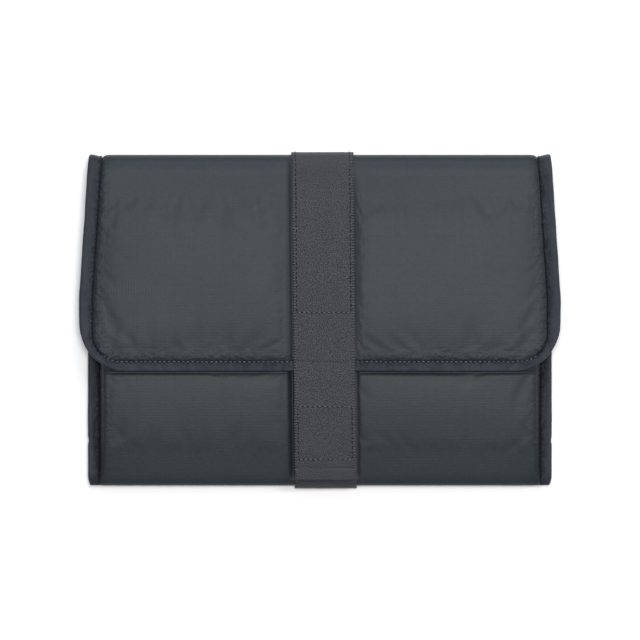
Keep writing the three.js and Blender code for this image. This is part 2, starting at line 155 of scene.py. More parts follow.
def smooth(low, high, value):
    """A smooth step from 0 at low to 1 at high."""
    t = np.clip((value - low) / (high - low), 0, 1)
    return t * t * (3 - 2 * t)


def bell(value, width):
    """One where value is nought, and falling away on both sides over width."""
    return np.exp(-((value / width) ** 2))


def fading(distance, reach):
    """One at no distance, and falling away over reach."""
    return np.exp(-distance / reach)


def running_length(line):
    """How far along a line each of its points is."""
    steps = np.linalg.norm(np.diff(line, axis=0), axis=1)
    return np.concatenate([[0], np.cumsum(steps)])


def at_length(distance, along, line):
    """The two columns of a line, at distances along it."""
    return [np.interp(distance, along, line[:, k]) for k in (0, 1)]


def unit_steps(line, *lengths):
    """The direction of a line at each of its points."""
    steps = np.gradient(line, *lengths, axis=0)
    return steps / np.linalg.norm(steps, axis=1)[:, None]


# --------------------------------------------------------------------- the line along s


def arc_points(y, radius, start, end, count, power=2.0):
    """Part of a circle, or of a squarer turn where the power is above two."""
    angles = np.radians(np.linspace(start, end, count))
    out, up = np.cos(angles), np.sin(angles)
    square = (np.abs(out) ** power + np.abs(up) ** power) ** (-1 / power)
    return np.stack([y + radius * out * square, radius + radius * up * square], 1)


def section_line():
    """The outer faces' section in Y and Z, and how far along it each turn is."""
    fall = FRONT_Z - BOTTOM_R * (1 + math.cos(FRONT_TILT))
    run = 2 * fall / math.tan(FRONT_TILT)
    curve_end = BOTTOM_Y - BOTTOM_R * math.sin(FRONT_TILT)
    level_end = curve_end + run
    curve_y = np.linspace(level_end, curve_end, 60)
    curve_z = FRONT_Z - fall * ((level_end - curve_y) / run) ** 2
    level = [[y, FRONT_Z] for y in np.linspace(MOUTH_Y, level_end, 40)]
    back = [[y, 0] for y in np.linspace(BOTTOM_Y, FOLD_Y, 90)]
    flap = [[y, 2 * FOLD_R] for y in np.linspace(FOLD_Y, FLAP_END_Y, 60)]
    middle = math.degrees(MIDDLE_FOLD)
    parts = [
        np.array(level),
        np.stack([curve_y, curve_z], 1),
        arc_points(BOTTOM_Y, BOTTOM_R, 90 + math.degrees(FRONT_TILT), 270, 40),
        np.array(back),
        arc_points(FOLD_Y, FOLD_R, -90, middle, 60, FOLD_POWER),
        arc_points(FOLD_Y, FOLD_R, middle, 90, 60, FOLD_POWER),
        np.array(flap),
    ]
    line, turns = [parts[0]], []
    for part in parts[1:]:
        turns.append(sum(len(p) for p in line) - 1)
        line.append(part[1:])
    line = np.concatenate(line)
    along = running_length(line)
    return line, along, [along[i] for i in turns]


LINE, ALONG, TURNS = section_line()
S_LEVEL, S_CURVE, S_BACK, S_FOLD, S_MIDDLE, S_FLAP = TURNS
S_END = ALONG[-1]
TANGENT = unit_steps(LINE, ALONG)


def on_line(s):
    """Y, Z and the outward normal's Y and Z of the section at s."""
    y, z = at_length(s, ALONG, LINE)
    ty, tz = at_length(s, ALONG, TANGENT)
    length = np.hypot(ty, tz)
    return y, z, tz / length, -ty / length


def flap_s(y):
    """Where the flap's section is at y, and the same for the back below."""
    return S_FLAP + FOLD_Y - y


def back_s(y):
    return S_BACK + y - BOTTOM_Y


def front_s(y):
    """The place along the front's section at y."""
    front = ALONG <= S_CURVE
    return np.interp(-np.asarray(y), -LINE[front, 0], ALONG[front])


def pinch(x, s):
    """How far the front and the bottom fold are drawn down towards the side seams."""
    top = np.where(s < S_CURVE, on_line(np.minimum(s, S_CURVE))[1], 2 * BOTTOM_R)
    out = 1 - np.sqrt(1 - np.clip(1 - (PANEL_HALF - np.abs(x)) / EDGE_TURN, 0, 1) ** 2)
    return np.where(s < S_BACK, 1 - (1 - SEAM_TOP / top) * out, 1)


def dome(x, s):
    """The flap bulges over what the clutch holds."""
    middle, half = (S_FLAP + S_END) / 2, (S_END - S_FLAP) / 2
    along = 1 - np.clip((s - middle) / half, -1, 1) ** 2
    return DOME * along * (1 - np.clip(np.abs(x) / FLAP_HALF, 0, 1) ** 2)


def lift(x, s, height=0.0):
    """Flat points, and a height above the outer face, to points in the frame."""
    x, s, height = np.broadcast_arrays(x, s, height)
    y, z, ny, nz = on_line(s)
    return np.stack([x, y + ny * height, (z + nz * height) * pinch(x, s) + dome(x, s)], -1)


def strap_line(y):
    """The strap's middle, a little aslant."""
    return STRAP_X - STRAP_LEAN * y / TOP_Y


def strap_middle(s):
    return strap_line(on_line(s)[0])


def channel(x, s):
    """Depth of the strap's channel, which lets the pouch rest flat."""
    y = on_line(s)[0]
    angle = np.clip((s - S_FOLD) / FOLD_R, 0, math.pi)
    bottom = np.clip((S_BACK - s) / BOTTOM_R, 0, math.pi)
    opened = np.where(s < S_BACK, 1 - smooth(0, math.pi / 3, bottom), 1.0)
    opened = opened * (1 - smooth(math.radians(20), math.radians(50), angle))
    aside = np.abs(x - strap_line(y)) - CHANNEL_HALF
    return CHANNEL * opened * (1 - smooth(0, CHANNEL_WALL, aside))


def ripple(x, s, size, seed):
    """Smooth unevenness from -1 to 1 over a piece, one value for each flat point."""
    flat = np.stack([np.ravel(x), np.ravel(s)], 1) / size
    values = [noise.noise(Vector((a, b, seed))) for a, b in flat]
    return np.array(values).reshape(np.shape(x))


def wander(along, size, column, seed):
    """The same unevenness along a line."""
    return np.array([noise.noise(Vector((column, a / size, seed))) for a in along])


def wander_across(along, size, row, seed):
    return np.array([noise.noise(Vector((a / size, row, seed))) for a in along])


# --------------------------------------------------------------------- outlines, flat


def body_half(s):
    """Half the width of the pouch's panels, which narrow into the top fold."""
    narrow = smooth(S_FOLD, S_MIDDLE, s)
    return PANEL_HALF + (FOLD_HALF - FLAP_TAPE - PANEL_HALF) * narrow


def flap_edge_half(y):
    """Half the flap's width at y, edge to edge."""
    share = np.clip((TOP_Y - y) / FLAP_FLARE_LENGTH, 0, 1)
    return FOLD_HALF + (FLAP_HALF - FOLD_HALF) * share


def corner_turn(radius, power, count):
    """A quarter turn from the side to the end, as offsets from its centre."""
    turn = np.linspace(0, math.pi / 2, count)
    return radius * np.cos(turn) ** (2 / power), -radius * np.sin(turn) ** (2 / power)


def flap_outline():
    """The flap's right half from the middle of the fold to the corner's end: rows of
    seam x, seam s, edge x and edge s."""
    side_s = np.concatenate(
        [np.linspace(S_MIDDLE, S_FLAP, 14), np.linspace(S_FLAP, flap_s(0), 64)[1:]]
    )
    seam_y = FLAP_END_Y + FLAP_TAPE_END + SEAM_CORNER
    edge_y = FLAP_END_Y - EDGE_DROP + FLAP_CORNER
    count = CORNER_POINTS
    seam_dx, seam_dy = corner_turn(SEAM_CORNER, 2.0, count)
    edge_dx, edge_dy = corner_turn(FLAP_CORNER, FLAP_CORNER_POWER, count)
    keep = side_s < flap_s(max(seam_y, edge_y)) - 1.5 * MM
    side_s = side_s[keep]
    half = flap_edge_half(on_line(side_s)[0])
    seam_x = FLAP_HALF - FLAP_TAPE - SEAM_CORNER + seam_dx
    edge_x = FLAP_HALF - FLAP_CORNER + edge_dx
    side = np.stack([half - FLAP_TAPE, side_s, half, side_s], 1)
    corner = np.stack([seam_x, flap_s(seam_y + seam_dy), edge_x, flap_s(edge_y + edge_dy)], 1)
    return np.concatenate([side, corner])


FLAP_OUTLINE = flap_outline()

# ------------------------------------------------------------------------ mesh building


def new_object(name, points, faces, flat, material):
    mesh = bpy.data.meshes.new(name)
    mesh.from_pydata(np.reshape(points, (-1, 3)).tolist(), [], faces)
    mesh.update(calc_edges=True)
    stored = mesh.attributes.new("flat", "FLOAT_VECTOR", "POINT")
    stored.data.foreach_set("vector", np.ravel(flat).astype(np.float32))
    mesh.polygons.foreach_set("use_smooth", [True] * len(mesh.polygons))
    mesh.materials.append(material)
    piece = bpy.data.objects.new(name, mesh)
    bpy.context.scene.collection.objects.link(piece)
    return piece


def grid_faces(rows, columns):
    a = (np.arange(rows - 1)[:, None] * columns + np.arange(columns - 1)[None]).ravel()
    return np.stack([a, a + columns, a + 1 + columns, a + 1], 1).tolist()


def ring_faces(count, size, first=0):
    """Quads between closed rings, and strips of quads that close both ends."""
    j = np.arange(size)
    faces = []
    for i in range(count - 1):
        low, high = first + i * size, first + (i + 1) * size
        nxt = (j + 1) % size
        faces += np.stack([low + j, low + nxt, high + nxt, high + j], 1).tolist()
    for base, step in ((first, 1), (first + (count - 1) * size, -1)):
        for k in range(size // 2 - 1):
            quad = [base + k, base + size - 1 - k, base + size - 2 - k, base + k + 1]
            faces.append(quad[::step])
    return faces


def recalculate(piece):
    """Turns every face outwards."""
    mesh = bmesh.new()
    mesh.from_mesh(piece.data)
    bmesh.ops.recalc_face_normals(mesh, faces=mesh.faces)
    mesh.to_mesh(piece.data)
    mesh.free()


def loft(name, rings, flat, material):
    """A closed piece through rings of points; each ring goes along its outer side and
    back along its inner side."""
    count, size = rings.shape[:2]
    piece = new_object(name, rings, ring_faces(count, size), flat, material)
    ends = np.zeros(count * size, bool)
    ends[:size] = ends[-size:] = True
    edges = np.zeros(len(piece.data.edges) * 2, np.int32)
    piece.data.edges.foreach_get("vertices", edges)
    sharp = ends[edges.reshape(-1, 2)].all(1)
    piece.data.attributes.new("sharp_edge", "BOOLEAN", "EDGE").data.foreach_set("value", sharp)
    recalculate(piece)
    return piece


def apply_modifiers(piece):
    graph = bpy.context.evaluated_depsgraph_get()
    mesh = bpy.data.meshes.new_from_object(
        piece.evaluated_get(graph), preserve_all_data_layers=True, depsgraph=graph
    )
    old = piece.data
    piece.modifiers.clear()
    piece.data = mesh
    bpy.data.meshes.remove(old)


def settle(piece, held):
    """Lets a sheet swell as cloth between its held points, then keeps that shape."""
    start = np.array([v.co for v in piece.data.vertices])
    group = piece.vertex_groups.new(name="held")
    for i, weight in enumerate(np.ravel(held)):
        if weight > 0:
            group.add([i], float(weight), "REPLACE")
    cloth = piece.modifiers.new("cloth", "CLOTH")
    rules = cloth.settings
    rules.quality = 6
    rules.mass = 0.15
    rules.tension_stiffness = rules.compression_stiffness = 30
    rules.shear_stiffness = 12
    rules.bending_stiffness = 0.4
    rules.shrink_min = -0.003
    rules.vertex_group_mass = group.name
    rules.use_pressure = True
    rules.uniform_pressure_force = SWELL
    rules.effector_weights.gravity = 0
    cloth.collision_settings.use_collision = False
    cloth.point_cache.frame_start = 1
    cloth.point_cache.frame_end = CLOTH_FRAMES
    scene = bpy.context.scene
    for number in range(1, CLOTH_FRAMES + 1):
        scene.frame_set(number)
    shape = piece.evaluated_get(bpy.context.evaluated_depsgraph_get()).to_mesh()
    end = np.array([v.co for v in shape.vertices])
    scene.frame_set(1)
    piece.modifiers.clear()
    piece.vertex_groups.clear()
    move = end - start
    length = np.linalg.norm(move, axis=1)[:, None]
    move *= SWELL_CAP * np.tanh(length / SWELL_CAP) / np.maximum(length, 1e-9)
    piece.data.vertices.foreach_set("co", np.ravel(start + move))
    piece.data.update()


def thicken(piece, thickness, levels=1):
    if levels:
        piece.modifiers.new("finer", "SUBSURF").levels = levels
    solid = piece.modifiers.new("thickness", "SOLIDIFY")
    solid.thickness = thickness
    solid.offset = -1
    apply_modifiers(piece)
    piece.data.set_sharp_from_angle(angle=math.radians(55))


def seam_distance(x, s, outline):
    """How far flat points are from a seam, and how far along it their nearest point is."""
    points = np.stack([np.ravel(x), np.ravel(s)], 1)
    best, place, passed = np.full(len(points), 1.0), np.zeros(len(points)), 0.0
    for a, b in zip(outline[:-1], outline[1:]):
        step = b - a
        length = float(np.linalg.norm(step))
        t = np.clip((points - a) @ step / length**2, 0, 1)
        away = np.linalg.norm(points - a - t[:, None] * step, axis=1)
        place = np.where(away < best, passed + t * length, place)
        best = np.minimum(best, away)
        passed += length
    return best.reshape(np.shape(x)), place.reshape(np.shape(x))


def tucks(away, place, seed):
    """Small folds that run square to a seam where its stitches gather the cloth."""
    fine = ripple(away / 3, place, 3.1 * MM, seed)
    broad = ripple(away / 2, place, 9 * MM, seed + 5)
    return (0.8 * fine + broad) * fading(away, 4.5 * MM)


# --------------------------------------------------------------------------- materials


class Shader:
    """A material's node tree, with short names for the nodes that these cloths share."""

    def __init__(self, name, roughness, sheen=0.0, sheen_roughness=0.5, specular=0.3):
        self.material = bpy.data.materials.new(name)
        self.material.use_nodes = True
        self.tree = self.material.node_tree
        self.surface = self.tree.nodes["Principled BSDF"]
        self.surface.inputs["Roughness"].default_value = roughness
        self.surface.inputs["Specular IOR Level"].default_value = specular
        self.surface.inputs["Sheen Weight"].default_value = sheen
        self.surface.inputs["Sheen Roughness"].default_value = sheen_roughness
        flat = self.tree.nodes.new("ShaderNodeAttribute")
        flat.attribute_name = "flat"
        split = self.tree.nodes.new("ShaderNodeSeparateXYZ")
        self.flat = flat.outputs["Vector"]
        self.tree.links.new(self.flat, split.inputs[0])
        self.x, self.s, self.seam = split.outputs

    def math(self, operation, *values, clamp=False):
        node = self.tree.nodes.new("ShaderNodeMath")
        node.operation = operation
        node.use_clamp = clamp
        for socket, value in zip(node.inputs, values):
            if isinstance(value, (int, float)):
                socket.default_value = value
            else:
                self.tree.links.new(value, socket)
        return node.outputs[0]

    def times(self, a, b, clamp=False):
        return self.math("MULTIPLY", a, b, clamp=clamp)

    def scaled(self, value, gain, base, clamp=False):
        """The value times gain, plus base."""
        return self.math("MULTIPLY_ADD", value, gain, base, clamp=clamp)

    def varied(self, noise, gain, base, clamp=False):
        """Adds noise, centred on zero and times gain, to base."""
        return self.scaled(self.math("SUBTRACT", noise, 0.5), gain, base, clamp)

    def wave(self, value, pitch):
        """A sine from -1 to 1 that repeats every pitch metres."""
        return self.math("SINE", self.scaled(value, TAU / pitch, 0.0))

    def noise(self, scale, detail=2.0, roughness=0.5, stretch=(1, 1, 0)):
        """Noise from 0 to 1 on the flat cloth; scale is in lumps to the metre."""
        spread = self.tree.nodes.new("ShaderNodeVectorMath")
        spread.operation = "MULTIPLY"
        spread.inputs[1].default_value = stretch
        self.tree.links.new(self.flat, spread.inputs[0])
        node = self.tree.nodes.new("ShaderNodeTexNoise")
        node.inputs["Scale"].default_value = scale
        node.inputs["Detail"].default_value = detail
        node.inputs["Roughness"].default_value = roughness
        self.tree.links.new(spread.outputs[0], node.inputs["Vector"])
        return node.outputs[0]

    def near_seam(self, reach):
        """One at a seam, falling away over reach metres."""
        return self.math("EXPONENT", self.times(self.seam, -1 / reach))

    def colour(self, factor, dark, light):
        mix = self.tree.nodes.new("ShaderNodeMix")
        mix.data_type = "RGBA"
        self.tree.links.new(factor, mix.inputs["Factor"])
        mix.inputs["A"].default_value = (*dark, 1)
        mix.inputs["B"].default_value = (*light, 1)
        self.tree.links.new(mix.outputs["Result"], self.surface.inputs["Base Color"])

    def rough(self, factor, low, high):
        value = self.scaled(factor, high - low, low)
        self.tree.links.new(value, self.surface.inputs["Roughness"])

    def bump(self, height, distance, strength=1.0):
        node = self.tree.nodes.new("ShaderNodeBump")
        node.inputs["Distance"].default_value = distance
        node.inputs["Strength"].default_value = strength
        self.tree.links.new(height, node.inputs["Height"])
        self.tree.links.new(node.outputs[0], self.surface.inputs["Normal"])


def weave_height(shader, pitch, patches):
    """A plain weave whose warp shows in some patches and whose weft shows in others."""
    drift = shader.noise(110, 2.0)
    warp = shader.wave(shader.scaled(drift, pitch, shader.x), pitch)
    weft = shader.wave(shader.scaled(drift, pitch, shader.s), pitch)
    patch = shader.noise(patches, 2.0)
    mixed = shader.varied(patch, 3.0, 0.5, clamp=True)
    other = shader.math("SUBTRACT", 1.0, mixed)
    return shader.math("ADD", shader.times(warp, mixed), shader.times(weft, other))


def nylon(name, dark, light, pitch=0.98 * MM, grid=6.2 * MM):
    """Matt ripstop: a fine weave, a faint coarser grid, puckers beside the seams, and painted
    shade along the seams.
    """
    shader = Shader(name, roughness=0.4, specular=0.12)
    weave = weave_height(shader, pitch, 70)
    cords = [shader.math("ABSOLUTE", shader.wave(axis, 2 * grid)) for axis in (shader.x, shader.s)]
    ripstop = shader.math("LESS_THAN", shader.math("MINIMUM", *cords), 0.11)
    cloud = shader.noise(14, 3.0, 0.6)
    fine = shader.noise(420, 2.0, 0.6)
    tone = shader.scaled(weave, 0.15, 0.5)
    tone = shader.varied(cloud, 0.25, tone)
    tone = shader.varied(fine, 0.6, tone)
    # painted shade: dark spots close to the seams, where the puckers fall in shadow
    spots = shader.scaled(shader.noise(420, 1.0), 6.0, -2.6, clamp=True)
    pucker_shade = shader.times(shader.near_seam(2.4 * MM), spots)
    tone = shader.scaled(pucker_shade, -2.2, tone)
    # painted shade in the groove along each seam
    tone = shader.scaled(shader.near_seam(1.3 * MM), -0.8, tone)
    tone = shader.scaled(ripstop, 0.012, tone)
    # darker in patches within about 9 mm of the seams
    darker_near_seams = shader.times(shader.near_seam(9 * MM), shader.noise(160, 3.0, 0.7))
    tone = shader.scaled(darker_near_seams, -0.25, tone, clamp=True)
    shader.colour(tone, dark, light)
    shader.rough(cloud, 0.41, 0.48)
    pucker = shader.times(shader.near_seam(4 * MM), shader.noise(330, 2.0, 0.5))
    height = shader.scaled(weave, 0.06, shader.times(ripstop, 0.03))
    height = shader.scaled(pucker, 4.5, height)
    height = shader.scaled(fine, 0.25, height)
    shader.bump(height, 0.25 * MM)
    return shader.material


def tape(name, dark, light):
    """Folded binding tape: a fine twill that runs across the grain of the panels."""
    shader = Shader(name, roughness=0.42, specular=0.12)
    slant = shader.scaled(shader.s, 0.8, shader.x)
    twill = shader.wave(slant, 0.85 * MM)
    crease = shader.noise(150, 3.0, 0.6, (1, 0.35, 0))
    cloud = shader.noise(40, 2.0)
    tone = shader.scaled(twill, 0.16, 0.55)
    # painted shade: dark spots close to the seam where the tape puckers, and a darker band beside
    # the stitches
    spots = shader.scaled(shader.noise(380, 1.0), 5.0, -2.0, clamp=True)
    pucker_shade = shader.times(shader.near_seam(1.7 * MM), spots)
    tone = shader.scaled(pucker_shade, -1.6, tone)
    tone = shader.scaled(shader.near_seam(2.4 * MM), -0.5, tone)
    tone = shader.varied(crease, 0.8, tone)
    tone = shader.varied(cloud, 0.5, tone, clamp=True)
    shader.colour(tone, dark, light)
    shader.rough(crease, 0.4, 0.5)
    height = shader.scaled(twill, 0.14, shader.times(crease, 3.4))
    shader.bump(height, 0.3 * MM)
    return shader.material


def heathered(name, dark, light):
    """Jacquard webbing: light and dark yarns mixed, on a fine twill, with ribs."""
    shader = Shader(name, roughness=0.48, specular=0.14)
    up = shader.scaled(shader.s, 1.2, shader.x)
    down = shader.scaled(shader.s, -1.9, shader.x)
    twill = shader.times(shader.wave(up, 1.6 * MM), 0.6)
    twill = shader.scaled(shader.wave(down, 2.0 * MM), 0.5, twill)
    speckle = shader.noise(2600, 0.0)
    yarn = shader.noise(1700, 0.0, 0.5, (1, 0.5, 0))
    tone = shader.varied(speckle, 6.5, 0.45)
    tone = shader.varied(yarn, 1.6, tone)
    tone = shader.scaled(twill, 0.45, tone)
    # painted highlight on the selvedge's loops and painted shade in the gaps between them
    loops = shader.times(shader.wave(shader.s, SELVEDGE_LOOP), shader.near_seam(1.0 * MM))
    tone = shader.scaled(loops, 2.6, tone)
    broad = shader.noise(70, 2.0)
    tone = shader.varied(broad, 0.3, tone, clamp=True)
    shader.colour(tone, dark, light)
    height = shader.scaled(twill, 0.3, shader.times(speckle, 0.5))
    shader.bump(height, 0.3 * MM)
    return shader.material


def taffeta(name, dark, light):
    """Smooth lining with faint ribs across and soft creases."""
    shader = Shader(name, roughness=0.45, sheen=0.25, sheen_roughness=0.3, specular=0.4)
    ribs = shader.wave(shader.s, 0.5 * MM)
    crease = shader.noise(26, 4.0, 0.55, (1, 0.5, 0))
    tone = shader.scaled(ribs, 0.08, crease, clamp=True)
    shader.colour(tone, dark, light)
    shader.rough(crease, 0.38, 0.55)
    shader.bump(shader.scaled(ribs, 0.04, crease), 0.8 * MM)
    return shader.material


def coated(name, dark, light):
    """The mat's wipe-clean face: a fine pebble grain, and quilting lines pressed in, with painted
    shade along them.
    """
    shader = Shader(name, roughness=0.42, specular=0.45)
    shader.surface.inputs["Coat Weight"].default_value = 0.12
    grain = shader.noise(900, 2.0, 0.6)
    cloud = shader.noise(18, 3.0)
    lines = [
        shader.math("ABSOLUTE", shader.wave(shader.scaled(shader.s, sign, shader.x), 56 * MM))
        for sign in (1.0, -1.0)
    ]
    quilt = shader.math("MINIMUM", shader.times(shader.math("MINIMUM", *lines), 9.0), 1.0)
    tone = shader.varied(grain, 0.3, cloud)
    # painted shade: darker along the pressed-in quilting lines
    tone = shader.times(tone, shader.scaled(quilt, 0.35, 0.65), clamp=True)
    shader.colour(tone, dark, light)
    shader.rough(grain, 0.36, 0.5)
    shader.bump(shader.scaled(grain, 0.12, quilt), 0.6 * MM)
    return shader.material


def pile(name, dark, light, scale):
    """Hook or loop tape."""
    shader = Shader(name, roughness=0.9, sheen=0.06, sheen_roughness=0.6, specular=0.1)
    tufts = shader.noise(scale, 3.0, 0.8)
    tone = shader.varied(tufts, 2.2, 0.5, clamp=True)
    shader.colour(tone, dark, light)
    shader.bump(tufts, 0.9 * MM)
    return shader.material


def sponge(name, dark, light):
    shader = Shader(name, roughness=0.95, specular=0.1)
    cells = shader.noise(1400, 3.0, 0.7)
    shader.colour(cells, dark, light)
    shader.bump(cells, 0.5 * MM)
    return shader.material


def satin(name, dark, light):
    shader = Shader(name, roughness=0.3, sheen=0.2, specular=0.5)
    ribs = shader.wave(shader.x, 0.35 * MM)
    cloud = shader.noise(60, 3.0)
    shader.colour(shader.scaled(ribs, 0.1, cloud, clamp=True), dark, light)
    shader.rough(cloud, 0.25, 0.42)
    shader.bump(ribs, 0.05 * MM)
    return shader.material


def thread(name, dark, light):
    """Two-ply sewing thread: the twist shows as slanting bands."""
    shader = Shader(name, roughness=0.5, specular=0.2)
    twist = shader.wave(shader.math("ADD", shader.x, shader.s), 0.5 * MM)
    tone = shader.scaled(twist, 0.3, shader.noise(260, 2.0), clamp=True)
    shader.colour(tone, dark, light)
    shader.bump(twist, 0.06 * MM)
    return shader.material


def studio_floor(name):
    shader = Shader(name, roughness=0.9, specular=0.1)
    shader.surface.inputs["Base Color"].default_value = (0.83, 0.81, 0.78, 1)
    return shader.material


OUTER = nylon("ripstop_nylon", (0.0140, 0.0174, 0.0194), (0.0268, 0.0322, 0.0354))
TAPE = tape("binding_tape", (0.009, 0.0105, 0.0135), (0.033, 0.038, 0.046))
WEBBING = heathered("heathered_webbing", (0.004, 0.0044, 0.0054), (0.062, 0.0638, 0.0705))
INNER = taffeta("grey_taffeta", (0.15, 0.165, 0.175), (0.23, 0.25, 0.265))
SPONGE = sponge("open_foam", (0.45, 0.44, 0.38), (0.68, 0.67, 0.6))
COATED = coated("wipe_clean_cloth", (0.24, 0.26, 0.28), (0.42, 0.45, 0.48))
LOOPS = pile("loop_pile", (0.004, 0.004, 0.005), (0.03, 0.03, 0.033), 800)
HOOKS = pile("hook_tape", (0.003, 0.003, 0.004), (0.022, 0.022, 0.025), 1300)
SATIN = satin("blank_satin", (0.55, 0.56, 0.57), (0.74, 0.75, 0.76))
# One dark charcoal thread in two copies: the darker one adds painted shade, the grey one is a lit
# copy with painted highlight
DARK_SHADED_THREAD = thread("dark_thread", (0.003, 0.0035, 0.005), (0.014, 0.015, 0.019))
LIT_THREAD = thread("grey_thread", (0.045, 0.048, 0.06), (0.13, 0.135, 0.16))

# ------------------------------------------------------------------- panels and linings


def strap_press(x, s):
    """One under the strap, falling away beside it, faster on its right."""
    across = x - strap_middle(s)
    aside = np.maximum(np.abs(across) - WEB_WIDTH / 2, 0)
    return fading(aside, np.where(across < 0, PRESS_LEFT, PRESS_RIGHT))


def strap_groove(x, s):
    """The crease that the pulled strap makes in the cloth along its left edge."""
    aside = strap_middle(s) - WEB_WIDTH / 2 - x
    return GROOVE * bell(aside - 0.2 * MM, 1.9 * MM)


def front_groove(x, s):
    """The same crease over the front, deeper, with a lesser one on the strap's right."""
    across = x - strap_middle(s)
    left = bell(-across - WEB_WIDTH / 2 - 1.3 * MM, 1.3 * MM)
    right = bell(across - WEB_WIDTH / 2 - 0.8 * MM, 1.1 * MM)
    shown = smooth(flap_edge_s() - 12 * MM, flap_edge_s(), s) * (s < S_CURVE)
    return (1.2 * strap_groove(x, s) + 1.7 * MM * left + 0.9 * MM * right) * shown


def bend_at_spine(piece):
    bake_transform(piece)


def bend_at_flap(piece):
    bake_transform(piece)


def evenly_spaced(edges, cell):
    """Values from the first edge to the last that hit every edge, about cell apart."""
    values = [edges[0]]
    for low, high in zip(edges[:-1], edges[1:]):
        count = max(1, round((high - low) / cell))
        values += list(np.linspace(low, high, count + 1)[1:])
    return np.array(values)


# Rows beside the middle of the top fold, where two pieces meet, close enough that
# their faces turn as one surface.
CLOSE_ROWS = np.array([0, 0.25, 0.55, 0.95, 1.5]) * MM


def seam_graded(half, count):
    """Shares from -1 to 1 that crowd towards both side seams."""
    t = np.linspace(-1, 1, count)
    return half * np.sign(t) * (1 - (1 - np.abs(t)) ** 1.25)


def panel_columns():
    """Shares of a panel's half width, closer at its sides and at the strap's edges."""
    near_left = np.arange(-6.5, 2.5, 0.8) * MM - WEB_WIDTH / 2
    near_right = np.arange(-1.5, 5.5, 0.8) * MM + WEB_WIDTH / 2
    extra = (np.concatenate([near_left, near_right]) + STRAP_X) / PANEL_HALF
    plain = seam_graded(1, 118)
    apart = np.abs(plain[:, None] - extra[None]).min(1) > 0.9 * MM / PANEL_HALF
    return np.sort(np.concatenate([plain[apart], extra]))


def add_body_fabric():
    """Front, bottom fold and back: one piece of outer fabric."""
    edges = [MOUTH_TAPE, S_LEVEL, S_CURVE, S_BACK, S_FOLD, S_MIDDLE - CLOSE_ROWS[-1]]
    rows = np.concatenate([evenly_spaced(edges, BODY_CELL), S_MIDDLE - CLOSE_ROWS[-2::-1]])
    valley = flap_edge_s() + 0.9 * MM
    close = valley + np.arange(-3, 3.1, 0.75) * MM
    rows = np.sort(np.concatenate([rows[np.abs(rows - valley) > 3.6 * MM], close]))
    shares = panel_columns()
    s = np.repeat(rows[:, None], len(shares), 1)
    x = shares[None] * body_half(s)
    side = body_half(s) - np.abs(x)
    on_front = s < S_CURVE
    shown = smooth(flap_edge_s() - 22 * MM, flap_edge_s() + 1 * MM, s) * on_front
    crown = (1 - fading(side, 3 * MM)) * (1 - strap_press(x, s))
    height = BODY_CROWN * crown * shown * (1 - 0.6 * smooth(S_CURVE - 25 * MM, S_CURVE, s))
    height += UNEVEN * ripple(x, s, 42 * MM, 3.1) * shown
    height += BODY_TUCKS * tucks(side, s + x, 8.4) * shown
    round_bottom = smooth(S_CURVE - 8 * MM, S_CURVE + 2 * MM, s)
    round_bottom = round_bottom * (1 - smooth(S_BACK - 2 * MM, S_BACK + 8 * MM, s))
    height -= SEAM_DIP * fading(side, 1.3 * MM) * (1 - 0.85 * round_bottom)
    height -= front_groove(x, s)
    height -= EDGE_VALLEY * bell(s - valley, 1.0 * MM) * crown
    height -= channel(x, s)
    points = lift(x, s, height)
    points[..., 2] = np.maximum(points[..., 2], 0.1 * MM)
    flat = np.stack([x, s, side], -1)
    piece = new_object("body_fabric", points, grid_faces(*s.shape), flat, OUTER)
    free = shown * smooth(1 * MM, 9 * MM, side) * smooth(0.25, 0.7, 1 - strap_press(x, s))
    free = free * (1 - smooth(S_CURVE - 25 * MM, S_CURVE, s))
    settle(piece, 1 - free)
    thicken(piece, SHELL * 0.8)
    bend_at_spine(piece)
    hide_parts("front_shell", "back_shell")


def flap_edge_s():
    """Where the flap's lower edge lies over the front."""
    return float(front_s(FLAP_END_Y))


def flap_rows():
    """Rows of the flap's panel, from the middle of the fold to its lower seam."""
    seam = FLAP_OUTLINE[:, :2]
    corner = seam[-CORNER_POINTS:, 1]
    rows = evenly_spaced([S_MIDDLE + CLOSE_ROWS[-1], S_FLAP, corner[0]], FLAP_CELL)
    rows = np.concatenate([S_MIDDLE + CLOSE_ROWS[:-1], rows[:-1], corner])
    return rows, np.interp(rows, seam[:, 1], seam[:, 0])


def flap_grid(inset=0.0):
    """Flat points of a layer of the flap that stops short of its seams by inset."""
    rows, halves = flap_rows()
    shares = panel_columns()
    s = np.repeat(rows[:, None], len(shares), 1)
    s = np.minimum(s, rows[-1] - inset)
    x = shares[None] * (halves[:, None] - inset)
    return x, s


def flap_seam_line():
    right = FLAP_OUTLINE[:, :2]
    left = right[::-1] * [-1, 1]
    return np.concatenate([right, left])


